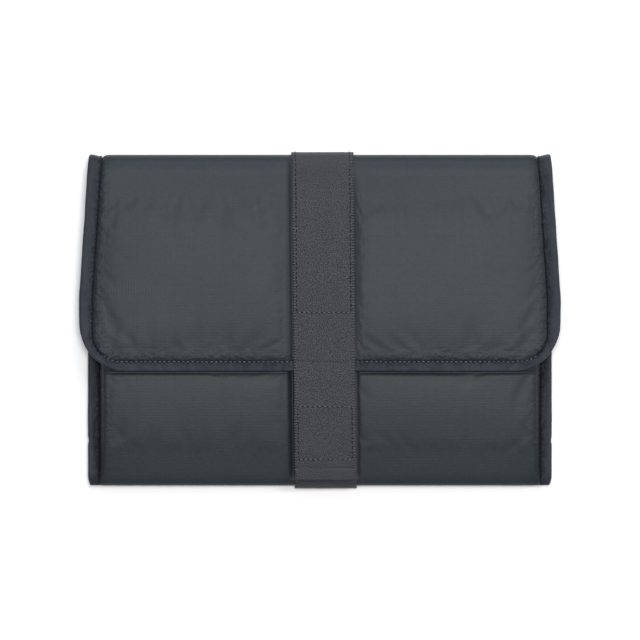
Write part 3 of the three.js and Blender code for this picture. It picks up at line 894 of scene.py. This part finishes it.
def add_flap_fabric():
    x, s = flap_grid()
    seam, place = seam_distance(x, s, flap_seam_line())
    corner = np.hypot(np.abs(x) - FLAP_HALF + 16 * MM, s - seam_lower_s() + 6 * MM)
    gathered = FLAP_TUCKS * (1 + 1.1 * bell(corner, 13 * MM))
    onto_flap = smooth(S_MIDDLE, S_FLAP + 8 * MM, s)
    rising = smooth(S_MIDDLE, S_FLAP + 34 * MM, s)
    lower = smooth(seam_lower_s() - 30 * MM, seam_lower_s(), s)
    roll = 0.8 * (1 - fading(seam, 2 * MM)) + 0.7 * (1 - fading(seam, 22 * MM))
    height = MM * roll * (1 - 0.93 * strap_press(x, s)) * rising * (1 - 0.25 * lower)
    height += UNEVEN * ripple(x, s, 45 * MM, 1.7) * onto_flap * (1 - strap_press(x, s))
    height += gathered * tucks(seam, place, 5.2) * onto_flap * (1 - strap_press(x, s))
    height -= (SEAM_DIP - 1.3 * MM * onto_flap) * fading(seam, 1.0 * MM) * (1 - 0.3 * lower)
    height -= strap_groove(x, s) * onto_flap
    flat = np.stack([x, s, seam], -1)
    points = lift(x, s, height)
    piece = new_object("flap_fabric", points, grid_faces(*s.shape), flat, OUTER)
    free = smooth(1 * MM, 9 * MM, seam) * smooth(0.25, 0.7, 1 - strap_press(x, s))
    free = free * smooth(S_FLAP, S_FLAP + 25 * MM, s)
    settle(piece, 1 - free)
    thicken(piece, SHELL * 0.8)
    bend_at_flap(piece)
    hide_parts("spine_shell", "flap_shell")


def at_flap_end(s):
    """Nought on the flap's sides, one along its lower end."""
    return smooth(seam_lower_s() - 9 * MM, seam_lower_s() - 1 * MM, s)


def seam_lower_s():
    return float(FLAP_OUTLINE[-1, 1])


def panel_layer(name, x, s, seam, low, thickness, material):
    """A layer behind the outer fabric: low is its depth at its outer face."""
    flat = np.stack([x, s, seam], -1)
    piece = new_object(name, lift(x, s, -low), grid_faces(*s.shape), flat, material)
    thicken(piece, thickness, levels=0)
    return piece


def add_body_layers():
    edges = [MOUTH_TAPE, S_LEVEL, S_CURVE, S_BACK, S_FOLD, S_MIDDLE]
    rows = evenly_spaced(edges, LAYER_CELL)
    shares = panel_columns()
    s = np.repeat(rows[:, None], len(shares), 1)
    x = shares[None] * (body_half(s) - 0.4 * MM)
    side = body_half(s) - np.abs(x)
    foam_x = x * (1 - FOAM_INSET / PANEL_HALF)
    foam_low = FOAM_DEPTH + 0.3 * MM + channel(x, s) + 1.1 * front_groove(foam_x, s)
    foam = panel_layer("body_foam", foam_x, s, side, foam_low, FOAM - CHANNEL, SPONGE)
    bend_at_spine(foam)
    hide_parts("front_padding", "back_padding")
    wrinkle = 0.18 * MM * ripple(x, s, 18 * MM, 6.6)
    inner_low = LINING_DEPTH + wrinkle - 0.2 * MM + 0.75 * front_groove(x, s)
    lining = panel_layer("body_lining", x, s, side, inner_low, INNER_CLOTH, INNER)
    bend_at_spine(lining)
    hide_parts("front_lining", "back_lining")


def add_flap_layers():
    x, s = flap_grid(FOAM_INSET)
    seam, _ = seam_distance(x, s, flap_seam_line())
    foam_low = FOAM_DEPTH + 0.9 * MM + 0.3 * strap_groove(x, s)
    foam = panel_layer("flap_foam", x, s, seam, foam_low, FOAM - 1.4 * MM, SPONGE)
    bend_at_flap(foam)
    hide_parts("spine_padding", "flap_padding")
    x, s = flap_grid(0.4 * MM)
    seam, _ = seam_distance(x, s, flap_seam_line())
    wrinkle = 0.15 * MM * ripple(x, s, 18 * MM, 2.6)
    inner_low = LINING_DEPTH + wrinkle - 0.2 * MM
    lining = panel_layer("flap_inner_cloth", x, s, seam, inner_low, INNER_CLOTH, INNER)
    bend_at_flap(lining)
    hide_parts("spine_lining", "flap_lining")


# ----------------------------------------------------------------------------- bindings

# A folded tape's section: shares of its width out from the seam, the share of its
# half thickness there, and how far the stitches draw its face down towards the seam.
TAPE_SHARES = [0.0, 0.03, 0.09, 0.16, 0.24, 0.33, 0.45, 0.58, 0.69, 0.79, 0.87, 0.94, 0.98, 1.0]
TAPE_SHARES = np.array(TAPE_SHARES)
TAPE_ROUND = (1 - TAPE_SHARES**18) ** 0.5
TAPE_LIP = 0.4 * MM * fading(TAPE_SHARES, 0.03)
DRAWN_IN = 1.75 * MM * (1 - smooth(-0.25, 0.95, TAPE_SHARES)) + TAPE_LIP
LYING_FLAT = 0.35 * MM * (1 - smooth(0, 0.5, TAPE_SHARES)) + TAPE_LIP


def both_faces(side, sign=-1):
    """A section's outer side, and its mirror image back along the inner side."""
    return np.concatenate([side, sign * side[..., :-1][..., ::-1], 0 * side[..., :1]], -1)


TAPE_U = np.concatenate([TAPE_SHARES, TAPE_SHARES[:-1][::-1], [0.0]])


def tape_face(half, drawn):
    """Heights over a tape's middle, round its section, for each row along it."""
    side = np.maximum(half[:, None] * TAPE_ROUND[None] - drawn, 0)
    return both_faces(side)


def add_side_tape(name, sign, node):
    """The tape round a side seam: both panels below the mouth, the back alone above.
    The piece closes in a rounded end at the bottom fold."""
    start, closed = back_s(-TOP_Y + 0.2 * MM), back_s(-TOP_Y + 8 * MM)
    mouth, above = back_s(MOUTH_Y + 0.5 * MM), back_s(MOUTH_Y + 8 * MM)
    s = evenly_spaced([start, closed, mouth, above, S_FOLD, S_MIDDLE], TAPE_CELL)
    y = on_line(s)[0]
    both_panels, back_alone = SEAM_TOP + 0.4 * MM, PANEL + 0.2 * MM
    high = both_panels + (back_alone - both_panels) * smooth(mouth, above, s)
    low = 0.4 * MM * (1 - smooth(above, S_FOLD, s)) - 0.15 * MM * smooth(S_FOLD, S_MIDDLE, s)
    closing = np.sqrt(np.clip(1 - ((closed - s) / (7.3 * MM)).clip(0, 1) ** 2.2, 0.02, 1))
    middle, half = (high + low) / 2, (high - low) / 2 * closing
    seam = body_half(s)
    edge = BODY_HALF + (FOLD_HALF - BODY_HALF) * smooth(S_FOLD, S_MIDDLE, s)
    kink = bell(y - TAPE_KINK_Y, 1.7 * MM) * (s < S_FOLD)
    edge = edge - 0.55 * MM * kink + 0.2 * MM * wander(s, 16 * MM, sign, 4.0)
    edge = edge - 1.9 * MM * (1 - closing)
    half = half * (1 - 0.06 * kink)
    u = TAPE_U
    xs = seam[:, None] + (edge - seam)[:, None] * u[None]
    face = tape_face(half, DRAWN_IN[None] * closing[:, None])
    depth = middle[:, None] + face
    s2 = np.repeat(s[:, None], len(u), 1)
    straight = np.maximum(s2, S_BACK)
    beyond = s2 - straight
    rings = lift(sign * xs, straight, -depth)
    rings[..., 1] += beyond
    creases = 0.3 * MM * ripple(xs, s2 + 0.7 * xs, 7 * MM, 2.0 + sign)
    creases += 0.12 * MM * ripple(xs * 0.5, s2, 2.6 * MM, 5.0 + sign)
    rings[..., 2] += creases * np.sign(face) * closing[:, None]
    rings[..., 2] = np.maximum(rings[..., 2], 0.05 * MM)
    flat = np.stack([sign * xs, s2, np.abs(xs - seam[:, None])], -1)
    piece = loft(name, rings, flat, TAPE)
    bend_at_spine(piece)
    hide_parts(node)


def flap_tape_loop():
    """The flap's outline from one side of the top fold round to the other."""
    right = FLAP_OUTLINE
    mirror = [-1, 1, -1, 1]
    bottom = np.linspace(right[-1], right[-1] * mirror, 100)[1:-1]
    left = right[::-1] * mirror
    return np.concatenate([right, bottom, left])


def add_flap_tape():
    loop = flap_tape_loop()
    seam, edge = loop[:, :2], loop[:, 2:]
    at_end = at_flap_end(seam[:, 1])[:, None]
    drawn = DRAWN_IN[None] * (1 - at_end) + LYING_FLAT[None] * at_end
    wobble = wander_across(running_length(edge), 13 * MM, 0.5, 7.0)
    width = np.linalg.norm(edge - seam, axis=1)
    outward = (edge - seam) / width[:, None]
    edge = edge + outward * (0.25 * MM * wobble)[:, None]
    at = seam[:, None] + (edge - seam)[:, None] * TAPE_U[None, :, None]
    x, s = at[..., 0], at[..., 1]
    face = tape_face(np.full(len(width), PANEL / 2 + 0.25 * MM), drawn)
    creases = 0.3 * MM * ripple(x + s * 0.4, s, 6 * MM, 3.3) * np.sign(face)
    rings = lift(x, s, -PANEL / 2 + face + creases)
    flat = np.stack([x, s, width[:, None] * TAPE_U[None]], -1)
    piece = loft("flap_tape", rings, flat, TAPE)
    bend_at_flap(piece)
    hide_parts("flap_binding", "spine_binding_left", "spine_binding_right")


def add_mouth_tape():
    """The tape over the front's upper edge, under the flap."""
    x = np.linspace(-PANEL_HALF + 0.3 * MM, PANEL_HALF - 0.3 * MM, 120)
    u = TAPE_U
    face = tape_face(np.full(len(x), PANEL / 2 + 0.15 * MM), LYING_FLAT[None])
    wobble = wander_across(x, 15 * MM, 1.5, 2.0)
    s = MOUTH_TAPE * (1 - u[None]) - 0.15 * MM * wobble[:, None] * u[None]
    height = face - PANEL / 2
    xs = np.repeat(x[:, None], len(u), 1)
    rings = lift(xs, np.maximum(s, 0), height)
    rings[..., 1] += np.maximum(-s, 0)
    flat = np.stack([xs, s, np.abs(s - MOUTH_TAPE)], -1)
    piece = loft("mouth_tape", rings, flat, TAPE)
    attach(piece, "pouch")
    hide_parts("mouth_binding")


# -------------------------------------------------------------------------------- strap

# The webbing's section: shares of its half width, and of its thickness, with the
# rounded selvedges at both sides.
EDGE_ROUND = [(1.0, 0.30), (0.992, 0.75), (0.975, 0.96), (0.95, 1.0), (0.90, 0.93)]
FLAT_SHARES = np.linspace(0.82, -0.82, 12)
WEB_TOP = [(-a, b) for a, b in EDGE_ROUND] + [(-a, 0.96) for a in FLAT_SHARES]
WEB_TOP += [(a, b) for a, b in EDGE_ROUND[::-1]]


def web_profile():
    """The webbing's section: shares of its half width and half thickness."""
    top = np.array(WEB_TOP)
    bottom = top[::-1] * [1, -1]
    return np.concatenate([top, bottom])


def web_section(s, middle):
    """The webbing's points round its section at each s: across, along, how far aside of
    the strap's middle, height share, bumps of the selvedge's loops and slow waves."""
    u, v = web_profile().T
    s2 = np.repeat(s[:, None], len(u), 1)
    bumps = np.sin(TAU * s2 / SELVEDGE_LOOP) * smooth(0.93, 1.0, np.abs(u))[None]
    aside = (WEB_WIDTH / 2 - 0.3 * MM + SELVEDGE_BUMP * bumps) * u[None]
    xs = middle[:, None] + aside
    wave = 0.10 * MM * ripple(xs, s2, 24 * MM, 4.4)
    return xs, s2, aside, v[None], bumps, wave


def add_webbing(name, s):
    """A length of webbing that lies on the outer faces."""
    xs, s2, aside, v, bumps, wave = web_section(s, strap_middle(s))
    height = WEB_LOW + WEB / 2 + WEB / 2 * v + wave + 0.08 * MM * bumps * np.sign(v)
    rings = lift(xs, s2, height - channel(strap_middle(s), s)[:, None])
    flat = np.stack([xs, s2, WEB_WIDTH / 2 - np.abs(aside)], -1)
    return loft(name, rings, flat, WEBBING)


STUB_END_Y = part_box("strap_lower_run")[1].y
TAIL_JOIN_Y = -26 * MM
OVER_END_Y = PEEL_Y + 3 * MM
STUB_START_Y = -47 * MM
TAIL_ROWS_Y = (-55.5 * MM, -89.3 * MM)  # the upper and lower rows of the closure's box


def add_tail_tip():
    """The tail from the flap's edge over the front to its turned end."""
    flap_part = np.arange(TAIL_JOIN_Y, FLAP_END_Y - 7.4 * MM, -TAIL_CELL)
    end_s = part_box("strap_tail_end")[0].y
    front_y = np.arange(flap_part[-1], TURN_Y, -TAIL_CELL)
    flap_points = np.stack([flap_part, np.full(len(flap_part), 2 * FOLD_R + WEB_LOW)], 1)
    sf = front_s(front_y)
    y, z, ny, nz = on_line(sf)
    front_points = np.stack([y + ny * TAIL_LOW, z + nz * TAIL_LOW], 1)
    spine = np.concatenate([flap_points, front_points[1:]])
    direction = spine[-1] - spine[-2]
    direction /= np.linalg.norm(direction)
    reach = (spine[-1, 0] - end_s) / -direction[0]
    extra = np.arange(TAIL_CELL, reach, TAIL_CELL)[:, None] * direction[None]
    spine = np.concatenate([spine, spine[-1] + extra])
    spine = smoothed(spine, 12)
    step = unit_steps(spine)
    normal = np.stack([step[:, 1], -step[:, 0]], 1)
    along = running_length(spine)
    to_end = along[-1] - along
    hem = (1 - smooth(HEM - 0.5 * MM, HEM + 0.5 * MM, to_end))[:, None]
    closing = np.clip((1.2 * MM - to_end) / (1.3 * MM), 0, 1)
    round_end = np.sqrt(np.clip(1 - closing**2, 0.01, 1))[:, None]
    xs, s2, aside, v, _, wave = web_section(flap_s(TAIL_JOIN_Y) + along, strap_line(spine[:, 0]))
    thickness = WEB * (1 + hem * (v < 0)) * round_end
    fold_line = 0.25 * MM * bell(to_end - HEM, 0.8 * MM)[:, None]
    height = WEB / 2 + thickness / 2 * v - WEB / 2 * hem * (v < 0) - fold_line * (v > 0) + wave
    ys, zs = (spine[:, k][:, None] + normal[:, k][:, None] * height for k in (0, 1))
    rings = np.stack([xs, ys, zs], -1)
    flat = np.stack([xs, s2, WEB_WIDTH / 2 - np.abs(aside)], -1)
    piece = loft("strap_tip", rings, flat, WEBBING)
    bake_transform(piece)
    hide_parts("strap_tail_end")
    return spine, along


def smoothed(line, times):
    """The line with its corners worn down, its ends kept."""
    line = line.copy()
    for _ in range(times):
        line[1:-1] = (line[:-2] + 2 * line[1:-1] + line[2:]) / 4
    return line


def add_strap():
    stub = float(front_s(STUB_START_Y))
    lower = add_webbing("strap_back", np.arange(stub, S_MIDDLE + 1e-6, STRAP_CELL))
    bend_at_spine(lower)
    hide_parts("strap_lower_run")
    first = np.linspace(S_MIDDLE, flap_s(OVER_END_Y), 190)
    over = add_webbing("strap_over_fold", first)
    bend_at_flap(over)
    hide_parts("strap_spine_run", "strap_flap_run")
    second = np.linspace(flap_s(OVER_END_Y), flap_s(TAIL_JOIN_Y), 60)
    root = add_webbing("strap_root", second)
    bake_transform(root)
    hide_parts("strap_tail_root")


def add_patch(name, node, body, low, material):
    """Hook or loop tape: a thin slab with a rough face."""
    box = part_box(node)
    y = np.linspace(box[1].y, box[0].y, 60)
    s = front_s(y)
    shares = np.linspace(-1, 1, 64)
    s2 = np.repeat(s[:, None], 64, 1)
    x = strap_middle(s)[:, None] + PATCH_HALF * shares[None]
    tufts = ripple(x, s2, 1.3 * MM, 12.0)
    height = low + 1.1 * MM + 0.12 * MM * tufts
    seam = PATCH_HALF * (1 - np.abs(shares))[None] + 0 * s2
    flat = np.stack([x, s2, seam], -1)
    piece = new_object(name, lift(x, s2, height), grid_faces(60, 64), flat, material)
    thicken(piece, 0.95 * MM, levels=0)
    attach(piece, body)
    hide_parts(node)


# ------------------------------------------------------------------------------- thread


def stitch_row(line, height, phase=0.5, length=0.74, pitch=STITCH, jitter=0.12):
    """Stitches along a flat line of x and s. Returns points, faces and flat points."""
    along = running_length(line)
    count = max(1, round(along[-1] / pitch))
    pitch = along[-1] / count
    rounds, sides = 6, 6
    points, flats, faces = [], [], []
    around = np.arange(sides) * TAU / sides
    for k in range(count):
        uneven = noise.noise_vector(Vector((k * 1.37, height * 900, along[-1] * 50)))
        shift = jitter * uneven.x
        t = (k + phase + shift + length * np.linspace(-0.5, 0.5, rounds)) * pitch
        x, s = at_length(t, along, line)
        bow = np.sin(np.linspace(0, math.pi, rounds))
        centre = height - 0.30 * MM + 0.42 * MM * bow
        radius = THREAD_R * (0.45 + 0.55 * np.sqrt(bow)) * (1 + 0.5 * uneven.y)
        dx, ds = x[-1] - x[0], s[-1] - s[0]
        size = math.hypot(dx, ds) or 1.0
        nx, ns = -ds / size, dx / size
        x, s = x + nx * 0.4 * MM * uneven.z, s + ns * 0.4 * MM * uneven.z
        px = x[:, None] + nx * radius[:, None] * np.cos(around)[None]
        ps = s[:, None] + ns * radius[:, None] * np.cos(around)[None]
        ph = centre[:, None] + radius[:, None] * np.sin(around)[None]
        faces += ring_faces(rounds, sides, len(points) * rounds * sides)
        points.append(np.stack([px, ps, ph], -1))
        flats.append(np.stack([px, ps, 0 * px], -1))
    return np.concatenate(points).reshape(-1, 3), faces, np.concatenate(flats).reshape(-1, 3)


def place_flat(points):
    return lift(points[:, 0], points[:, 1], points[:, 2])


def add_thread(name, rows, material, slot, place=place_flat, **stitch):
    """Several rows of stitches as one piece. rows holds (flat line, height) pairs."""
    points, faces, flats, total = [], [], [], 0
    for line, height in rows:
        p, f, flat = stitch_row(np.asarray(line, float), height, **stitch)
        faces += [[i + total for i in face] for face in f]
        points.append(place(p))
        flats.append(flat)
        total += len(p)
    piece = new_object(name, np.concatenate(points), faces, np.concatenate(flats), material)
    recalculate(piece)
    return piece


def add_light_row(name, rows, slot, body, place=place_flat):
    """Stitches in the grey lit copy of the thread, painted highlight, with dark pieces between
    them that are painted shade in the needle pits.
    """
    light = add_thread(f"{name}_stitches", rows, LIT_THREAD, slot, place, length=0.6)
    low = [(line, height + 0.02 * MM) for line, height in rows]
    # painted shade: dark pieces where the needle went through
    hole_shade = add_thread(f"{name}_holes", low, DARK_SHADED_THREAD, slot, place, phase=0.02, length=0.42)
    for piece in (light, hole_shade):
        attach(piece, body)


def dense(line, step=1.0 * MM):
    """The same line with a point about every step."""
    line = np.asarray(line, float)
    along = running_length(line)
    t = np.linspace(0, along[-1], max(2, int(along[-1] / step)))
    return np.stack(at_length(t, along, line), 1)


def add_flap_stitches():
    """One row all round the flap's tape, outside and inside."""
    loop = flap_tape_loop()
    seam, edge = loop[:, :2], loop[:, 2:]
    width = np.linalg.norm(edge - seam, axis=1)[:, None]
    low = smooth(seam_lower_s() - 8 * MM, seam_lower_s() - 1 * MM, seam[:, 1])[:, None]
    inset = 0.9 * MM * (1 - low) + 0.55 * MM * low
    line = seam + (edge - seam) / width * inset
    side = low[:, 0] < 0.5
    first_low = int(np.argmax(~side))
    last_low = len(side) - int(np.argmax(~side[::-1]))

    def on_flap_tape(points, face=1):
        at_end = at_flap_end(points[:, 1])
        sunk = STITCH_SUNK * (1 - at_end) + 0.1 * MM * at_end
        return lift(points[:, 0], points[:, 1], points[:, 2] - face * sunk)

    def under_flap_tape(points):
        return on_flap_tape(points, -1)

    rows = [(line[: first_low + 1], 0.2 * MM), (line[last_low - 1 :], 0.2 * MM)]
    sides = add_thread("flap_side_stitches", rows, DARK_SHADED_THREAD, "binding_tape", on_flap_tape)
    bend_at_flap(sides)
    end_rows = [(line[first_low:last_low], 0.14 * MM)]
    add_light_row("flap_end", end_rows, "binding_tape", "flap", on_flap_tape)
    rows = [(line, -PANEL - 0.2 * MM)]
    under = add_thread("flap_under_stitches", rows, DARK_SHADED_THREAD, "binding_tape", under_flap_tape)
    bend_at_flap(under)


def add_body_stitches():
    rows, back_rows = [], []
    for sign in (-1, 1):
        x = sign * (PANEL_HALF + 1.0 * MM)
        rows.append((dense([(x, front_s(64 * MM)), (x, S_CURVE - 1 * MM)]), 0))
        back_rows.append((dense([(x, S_BACK), (x, S_FOLD), (x, S_MIDDLE)]), 0.0))

    def on_front_tape(points):
        placed = lift(points[:, 0], points[:, 1], 0 * points[:, 2])
        placed[:, 2] = SEAM_TOP + 0.4 * MM - STITCH_SUNK + points[:, 2]
        return placed

    front = add_thread("front_seam_stitches", rows, DARK_SHADED_THREAD, "binding_tape", on_front_tape)
    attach(front, "pouch")

    def on_back_tape(points):
        depth = 0.45 * MM * (1 - smooth(back_s(MOUTH_Y + 8 * MM), S_FOLD, points[:, 1]))
        return lift(points[:, 0], points[:, 1], points[:, 2] - depth - STITCH_SUNK)

    back = add_thread("back_seam_stitches", back_rows, DARK_SHADED_THREAD, "binding_tape", on_back_tape)
    bend_at_spine(back)
    end, s = PANEL_HALF - 2 * MM, MOUTH_TAPE - 1.7 * MM
    mouth = dense([(-end, s), (end, s)])
    rows = [(mouth, 0.05 * MM), (mouth, -PANEL - 0.1 * MM)]
    rim = add_thread("mouth_stitches", rows, DARK_SHADED_THREAD, "binding_tape")
    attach(rim, "pouch")


def add_strap_stitches(tip_spine, tip_along):
    """The long U that holds the strap on the flap, and the box over the hook patch."""
    inset = STITCH_INSET
    top = WEB_LOW + WEB + 0.02 * MM

    def beside(s0, s1, sign):
        s = np.arange(s0, s1, 1 * MM)
        return np.stack([strap_middle(s) + sign * inset, s], 1)

    def across(s):
        middle = float(strap_middle(np.array([s]))[0])
        return dense([(middle - inset, s), (middle + inset, s)])

    row = flap_s(PEEL_Y)
    sides = [(beside(S_MIDDLE + 2 * MM, row, sign), top) for sign in (-1, 1)]
    held = add_thread("strap_side_stitches", sides, DARK_SHADED_THREAD, "webbing")
    bend_at_flap(held)
    add_light_row("strap_row", [(across(row), top + 0.02 * MM)], "webbing", "flap")

    first = float(flap_s(TAIL_JOIN_Y))

    def on_tip(points):
        t = points[:, 1] - first
        y, z = at_length(t, tip_along, tip_spine)
        ty, tz = at_length(t, tip_along, np.gradient(tip_spine, tip_along, axis=0))
        h = points[:, 2]
        return np.stack([points[:, 0], y + tz * h, z - ty * h], -1)

    def tip_s(y):
        return first + float(np.interp(-y, -tip_spine[:, 0], tip_along))

    box = [(float(strap_line(y)), tip_s(y)) for y in TAIL_ROWS_Y]
    box_rows = [(dense([(x - inset, s), (x + inset, s)]), WEB + 0.03 * MM) for x, s in box]
    add_light_row("tail_row", box_rows, "webbing", "tail_end", on_tip)
    box_sides = [(dense([(x + side, s) for x, s in box]), WEB) for side in (-inset, inset)]
    flanks = add_thread("tail_side_stitches", box_sides, DARK_SHADED_THREAD, "webbing", on_tip)
    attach(flanks, "tail_end")


# ---------------------------------------------------------------------------- mat, label


def mat_line():
    """The mat's middle line in Y and Z: three leaves folded in an S."""
    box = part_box("mat_sheet")
    low = box[0].z + MAT_LEAF / 2
    pitch = MAT_LEAF + GAP
    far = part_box("mat_binding_left")[1].y - MAT_LEAF - GAP / 2
    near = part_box("mat_binding_left")[0].y + MAT_LEAF + GAP / 2
    start, end = near + 1.5 * MM, far - 3 * MM

    def leaf(y0, y1, level):
        return [[y, low + level * pitch] for y in np.linspace(y0, y1, 60)]

    def turn(y, side, level):
        angles = np.radians(np.linspace(-90, 90, 12))
        z = low + level * pitch + pitch / 2 * (1 + np.sin(angles))
        return np.stack([y + side * pitch / 2 * np.cos(angles), z], 1).tolist()

    line = leaf(start, far, 0) + turn(far, 1, 0)[1:] + leaf(far, near, 1)[1:]
    line = np.array(line + turn(near, -1, 1)[1:] + leaf(near, end, 2)[1:])
    return line, running_length(line)


def add_mat():
    """The folded mat and its four edge tapes."""
    line, along = mat_line()
    step = unit_steps(line, along)
    normal = np.stack([-step[:, 1], step[:, 0]], 1)
    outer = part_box("mat_binding_right")[1].x
    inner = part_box("mat_sheet")[1].x
    tape_width = outer - inner

    def slab(name, x_values, t_values, thickness, material):
        y, z = at_length(t_values, along, line)
        ny, nz = at_length(t_values, along, normal)
        xs = np.repeat(x_values[None], len(t_values), 0)
        ts = np.repeat(t_values[:, None], len(x_values), 1)
        edge = np.minimum(x_values - x_values[0], x_values[-1] - x_values)[None]
        end = np.minimum(t_values - t_values[0], t_values[-1] - t_values)[:, None]
        near = np.minimum(edge, end)
        rounding = 1 - np.clip(near / (1.4 * MM), 0, 1)
        half = thickness / 2 * np.sqrt(np.clip(1 - rounding**2, 0.05, 1))

        def face(height):
            ys = y[:, None] + ny[:, None] * height
            return np.stack([xs, ys, z[:, None] + nz[:, None] * height], -1)

        rings = np.concatenate([face(half), face(-half)[:, ::-1]], 1)
        flat_side = np.stack([xs, ts, near], -1)
        flat = np.concatenate([flat_side, flat_side[:, ::-1]], 1)
        piece = loft(name, rings, flat, material)
        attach(piece, "pouch")
        return piece

    t_all = evenly_spaced([0, along[-1]], MAT_CELL)
    t_sheet = evenly_spaced([tape_width, along[-1] - tape_width], MAT_CELL)
    sheet = slab("mat_pad", np.linspace(-inner, inner, 90), t_sheet, MAT_LEAF, COATED)
    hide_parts("mat_sheet")
    tapes, taped = [], MAT_LEAF + 0.2 * MM
    for name, sign in (("left", -1), ("right", 1)):
        x = np.sort(sign * np.linspace(inner, outer, 9))
        piece = slab(f"mat_tape_{name}", x, t_all, taped, TAPE)
        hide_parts(f"mat_binding_{name}")
        tapes.append(piece)
    for name, low in (("lower", 0), ("upper", along[-1] - tape_width)):
        t = np.linspace(low, low + tape_width, 9)
        x = np.linspace(-inner, inner, 60)
        piece = slab(f"mat_tape_{name}", x, t, taped, TAPE)
        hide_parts(f"mat_binding_{name}_end")
        tapes.append(piece)


def add_label():
    """A blank satin label on the flap's lining."""
    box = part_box("blank_label")
    x = np.linspace(box[0].x, box[1].x, 40)
    y = np.linspace(box[1].y, box[0].y, 18)
    s = np.repeat(flap_s(y)[:, None], len(x), 1)
    xs = np.repeat(x[None], len(y), 0)
    height = -PANEL - GAP - 0.12 * MM - 0.08 * MM * ripple(xs, s, 8 * MM, 1.0)
    edge = np.minimum(box[1].x - np.abs(xs), 1.0)
    flat = np.stack([xs, s, edge], -1)
    points = lift(xs, s, height)
    piece = new_object("satin_label", points, grid_faces(*s.shape), flat, SATIN)
    thicken(piece, 0.2 * MM, levels=0)
    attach(piece, "flap")
    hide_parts("blank_label")


# ----------------------------------------------------------------- floor, light, camera


def add_floor():
    size = 3.0
    mesh = bpy.data.meshes.new("floor")
    corners = [(-size, -size, 0), (size, -size, 0), (size, size, 0), (-size, size, 0)]
    mesh.from_pydata(corners, [], [(0, 1, 2, 3)])
    mesh.materials.append(studio_floor("white_paper"))
    floor = bpy.data.objects.new("floor", mesh)
    floor.location.z = -0.2 * MM
    bpy.context.scene.collection.objects.link(floor)


def add_light(name, place, size, energy, color=(1, 1, 1)):
    light = bpy.data.lights.new(name, "AREA")
    light.shape = "DISK"
    light.size = size
    light.energy = energy
    light.color = color
    piece = bpy.data.objects.new(name, light)
    piece.location = place
    piece.rotation_euler = (-Vector(place)).to_track_quat("-Z", "Y").to_euler()
    bpy.context.scene.collection.objects.link(piece)


def add_studio():
    """A soft key overhead, a side light, a cool rim light beyond the top fold and a dim sky."""
    world = bpy.data.worlds.new("studio")
    bpy.context.scene.world = world
    world.use_nodes = True
    sky = world.node_tree.nodes["Background"]
    sky.inputs["Color"].default_value = (0.86, 0.93, 1.1, 1)
    sky.inputs["Strength"].default_value = 0.32
    add_light("key", (0.06, 0.12, 3.7), 1.15, 104)
    add_light("side", (2.3, 0.5, 2.3), 0.6, 34)
    add_light("rim", (0.1, 2.2, 2.1), 2.0, 66, (0.8, 0.9, 1.0))
    view = bpy.context.scene.view_settings
    view.view_transform = "Standard"
    view.look = "None"
    view.exposure = 0
    view.gamma = 1


def add_camera():
    """Straight above, far off on a long lens. The frame is 0.412 m wide at the flap."""
    data = bpy.data.cameras.new("camera")
    data.lens = 600
    data.sensor_width = 36
    frame_width = 0.4119
    distance = frame_width * data.lens / data.sensor_width
    camera = bpy.data.objects.new("camera", data)
    camera.location = (0.1 * MM, 0.2 * MM, distance + 2 * FOLD_R)
    bpy.context.scene.collection.objects.link(camera)
    bpy.context.scene.camera = camera


add_camera()
add_studio()
add_floor()
add_body_fabric()
add_flap_fabric()
add_body_layers()
add_flap_layers()
add_side_tape("side_tape_left", -1, "side_binding_left")
add_side_tape("side_tape_right", 1, "side_binding_right")
add_flap_tape()
add_mouth_tape()
add_strap()
spine, along = add_tail_tip()
add_patch("loop_pile", "loop_patch", "pouch", 2.0 * MM, LOOPS)
add_patch("hook_pile", "hook_patch", "tail_end", 3.55 * MM, HOOKS)
add_flap_stitches()
add_body_stitches()
add_strap_stitches(spine, along)
add_mat()
add_label()
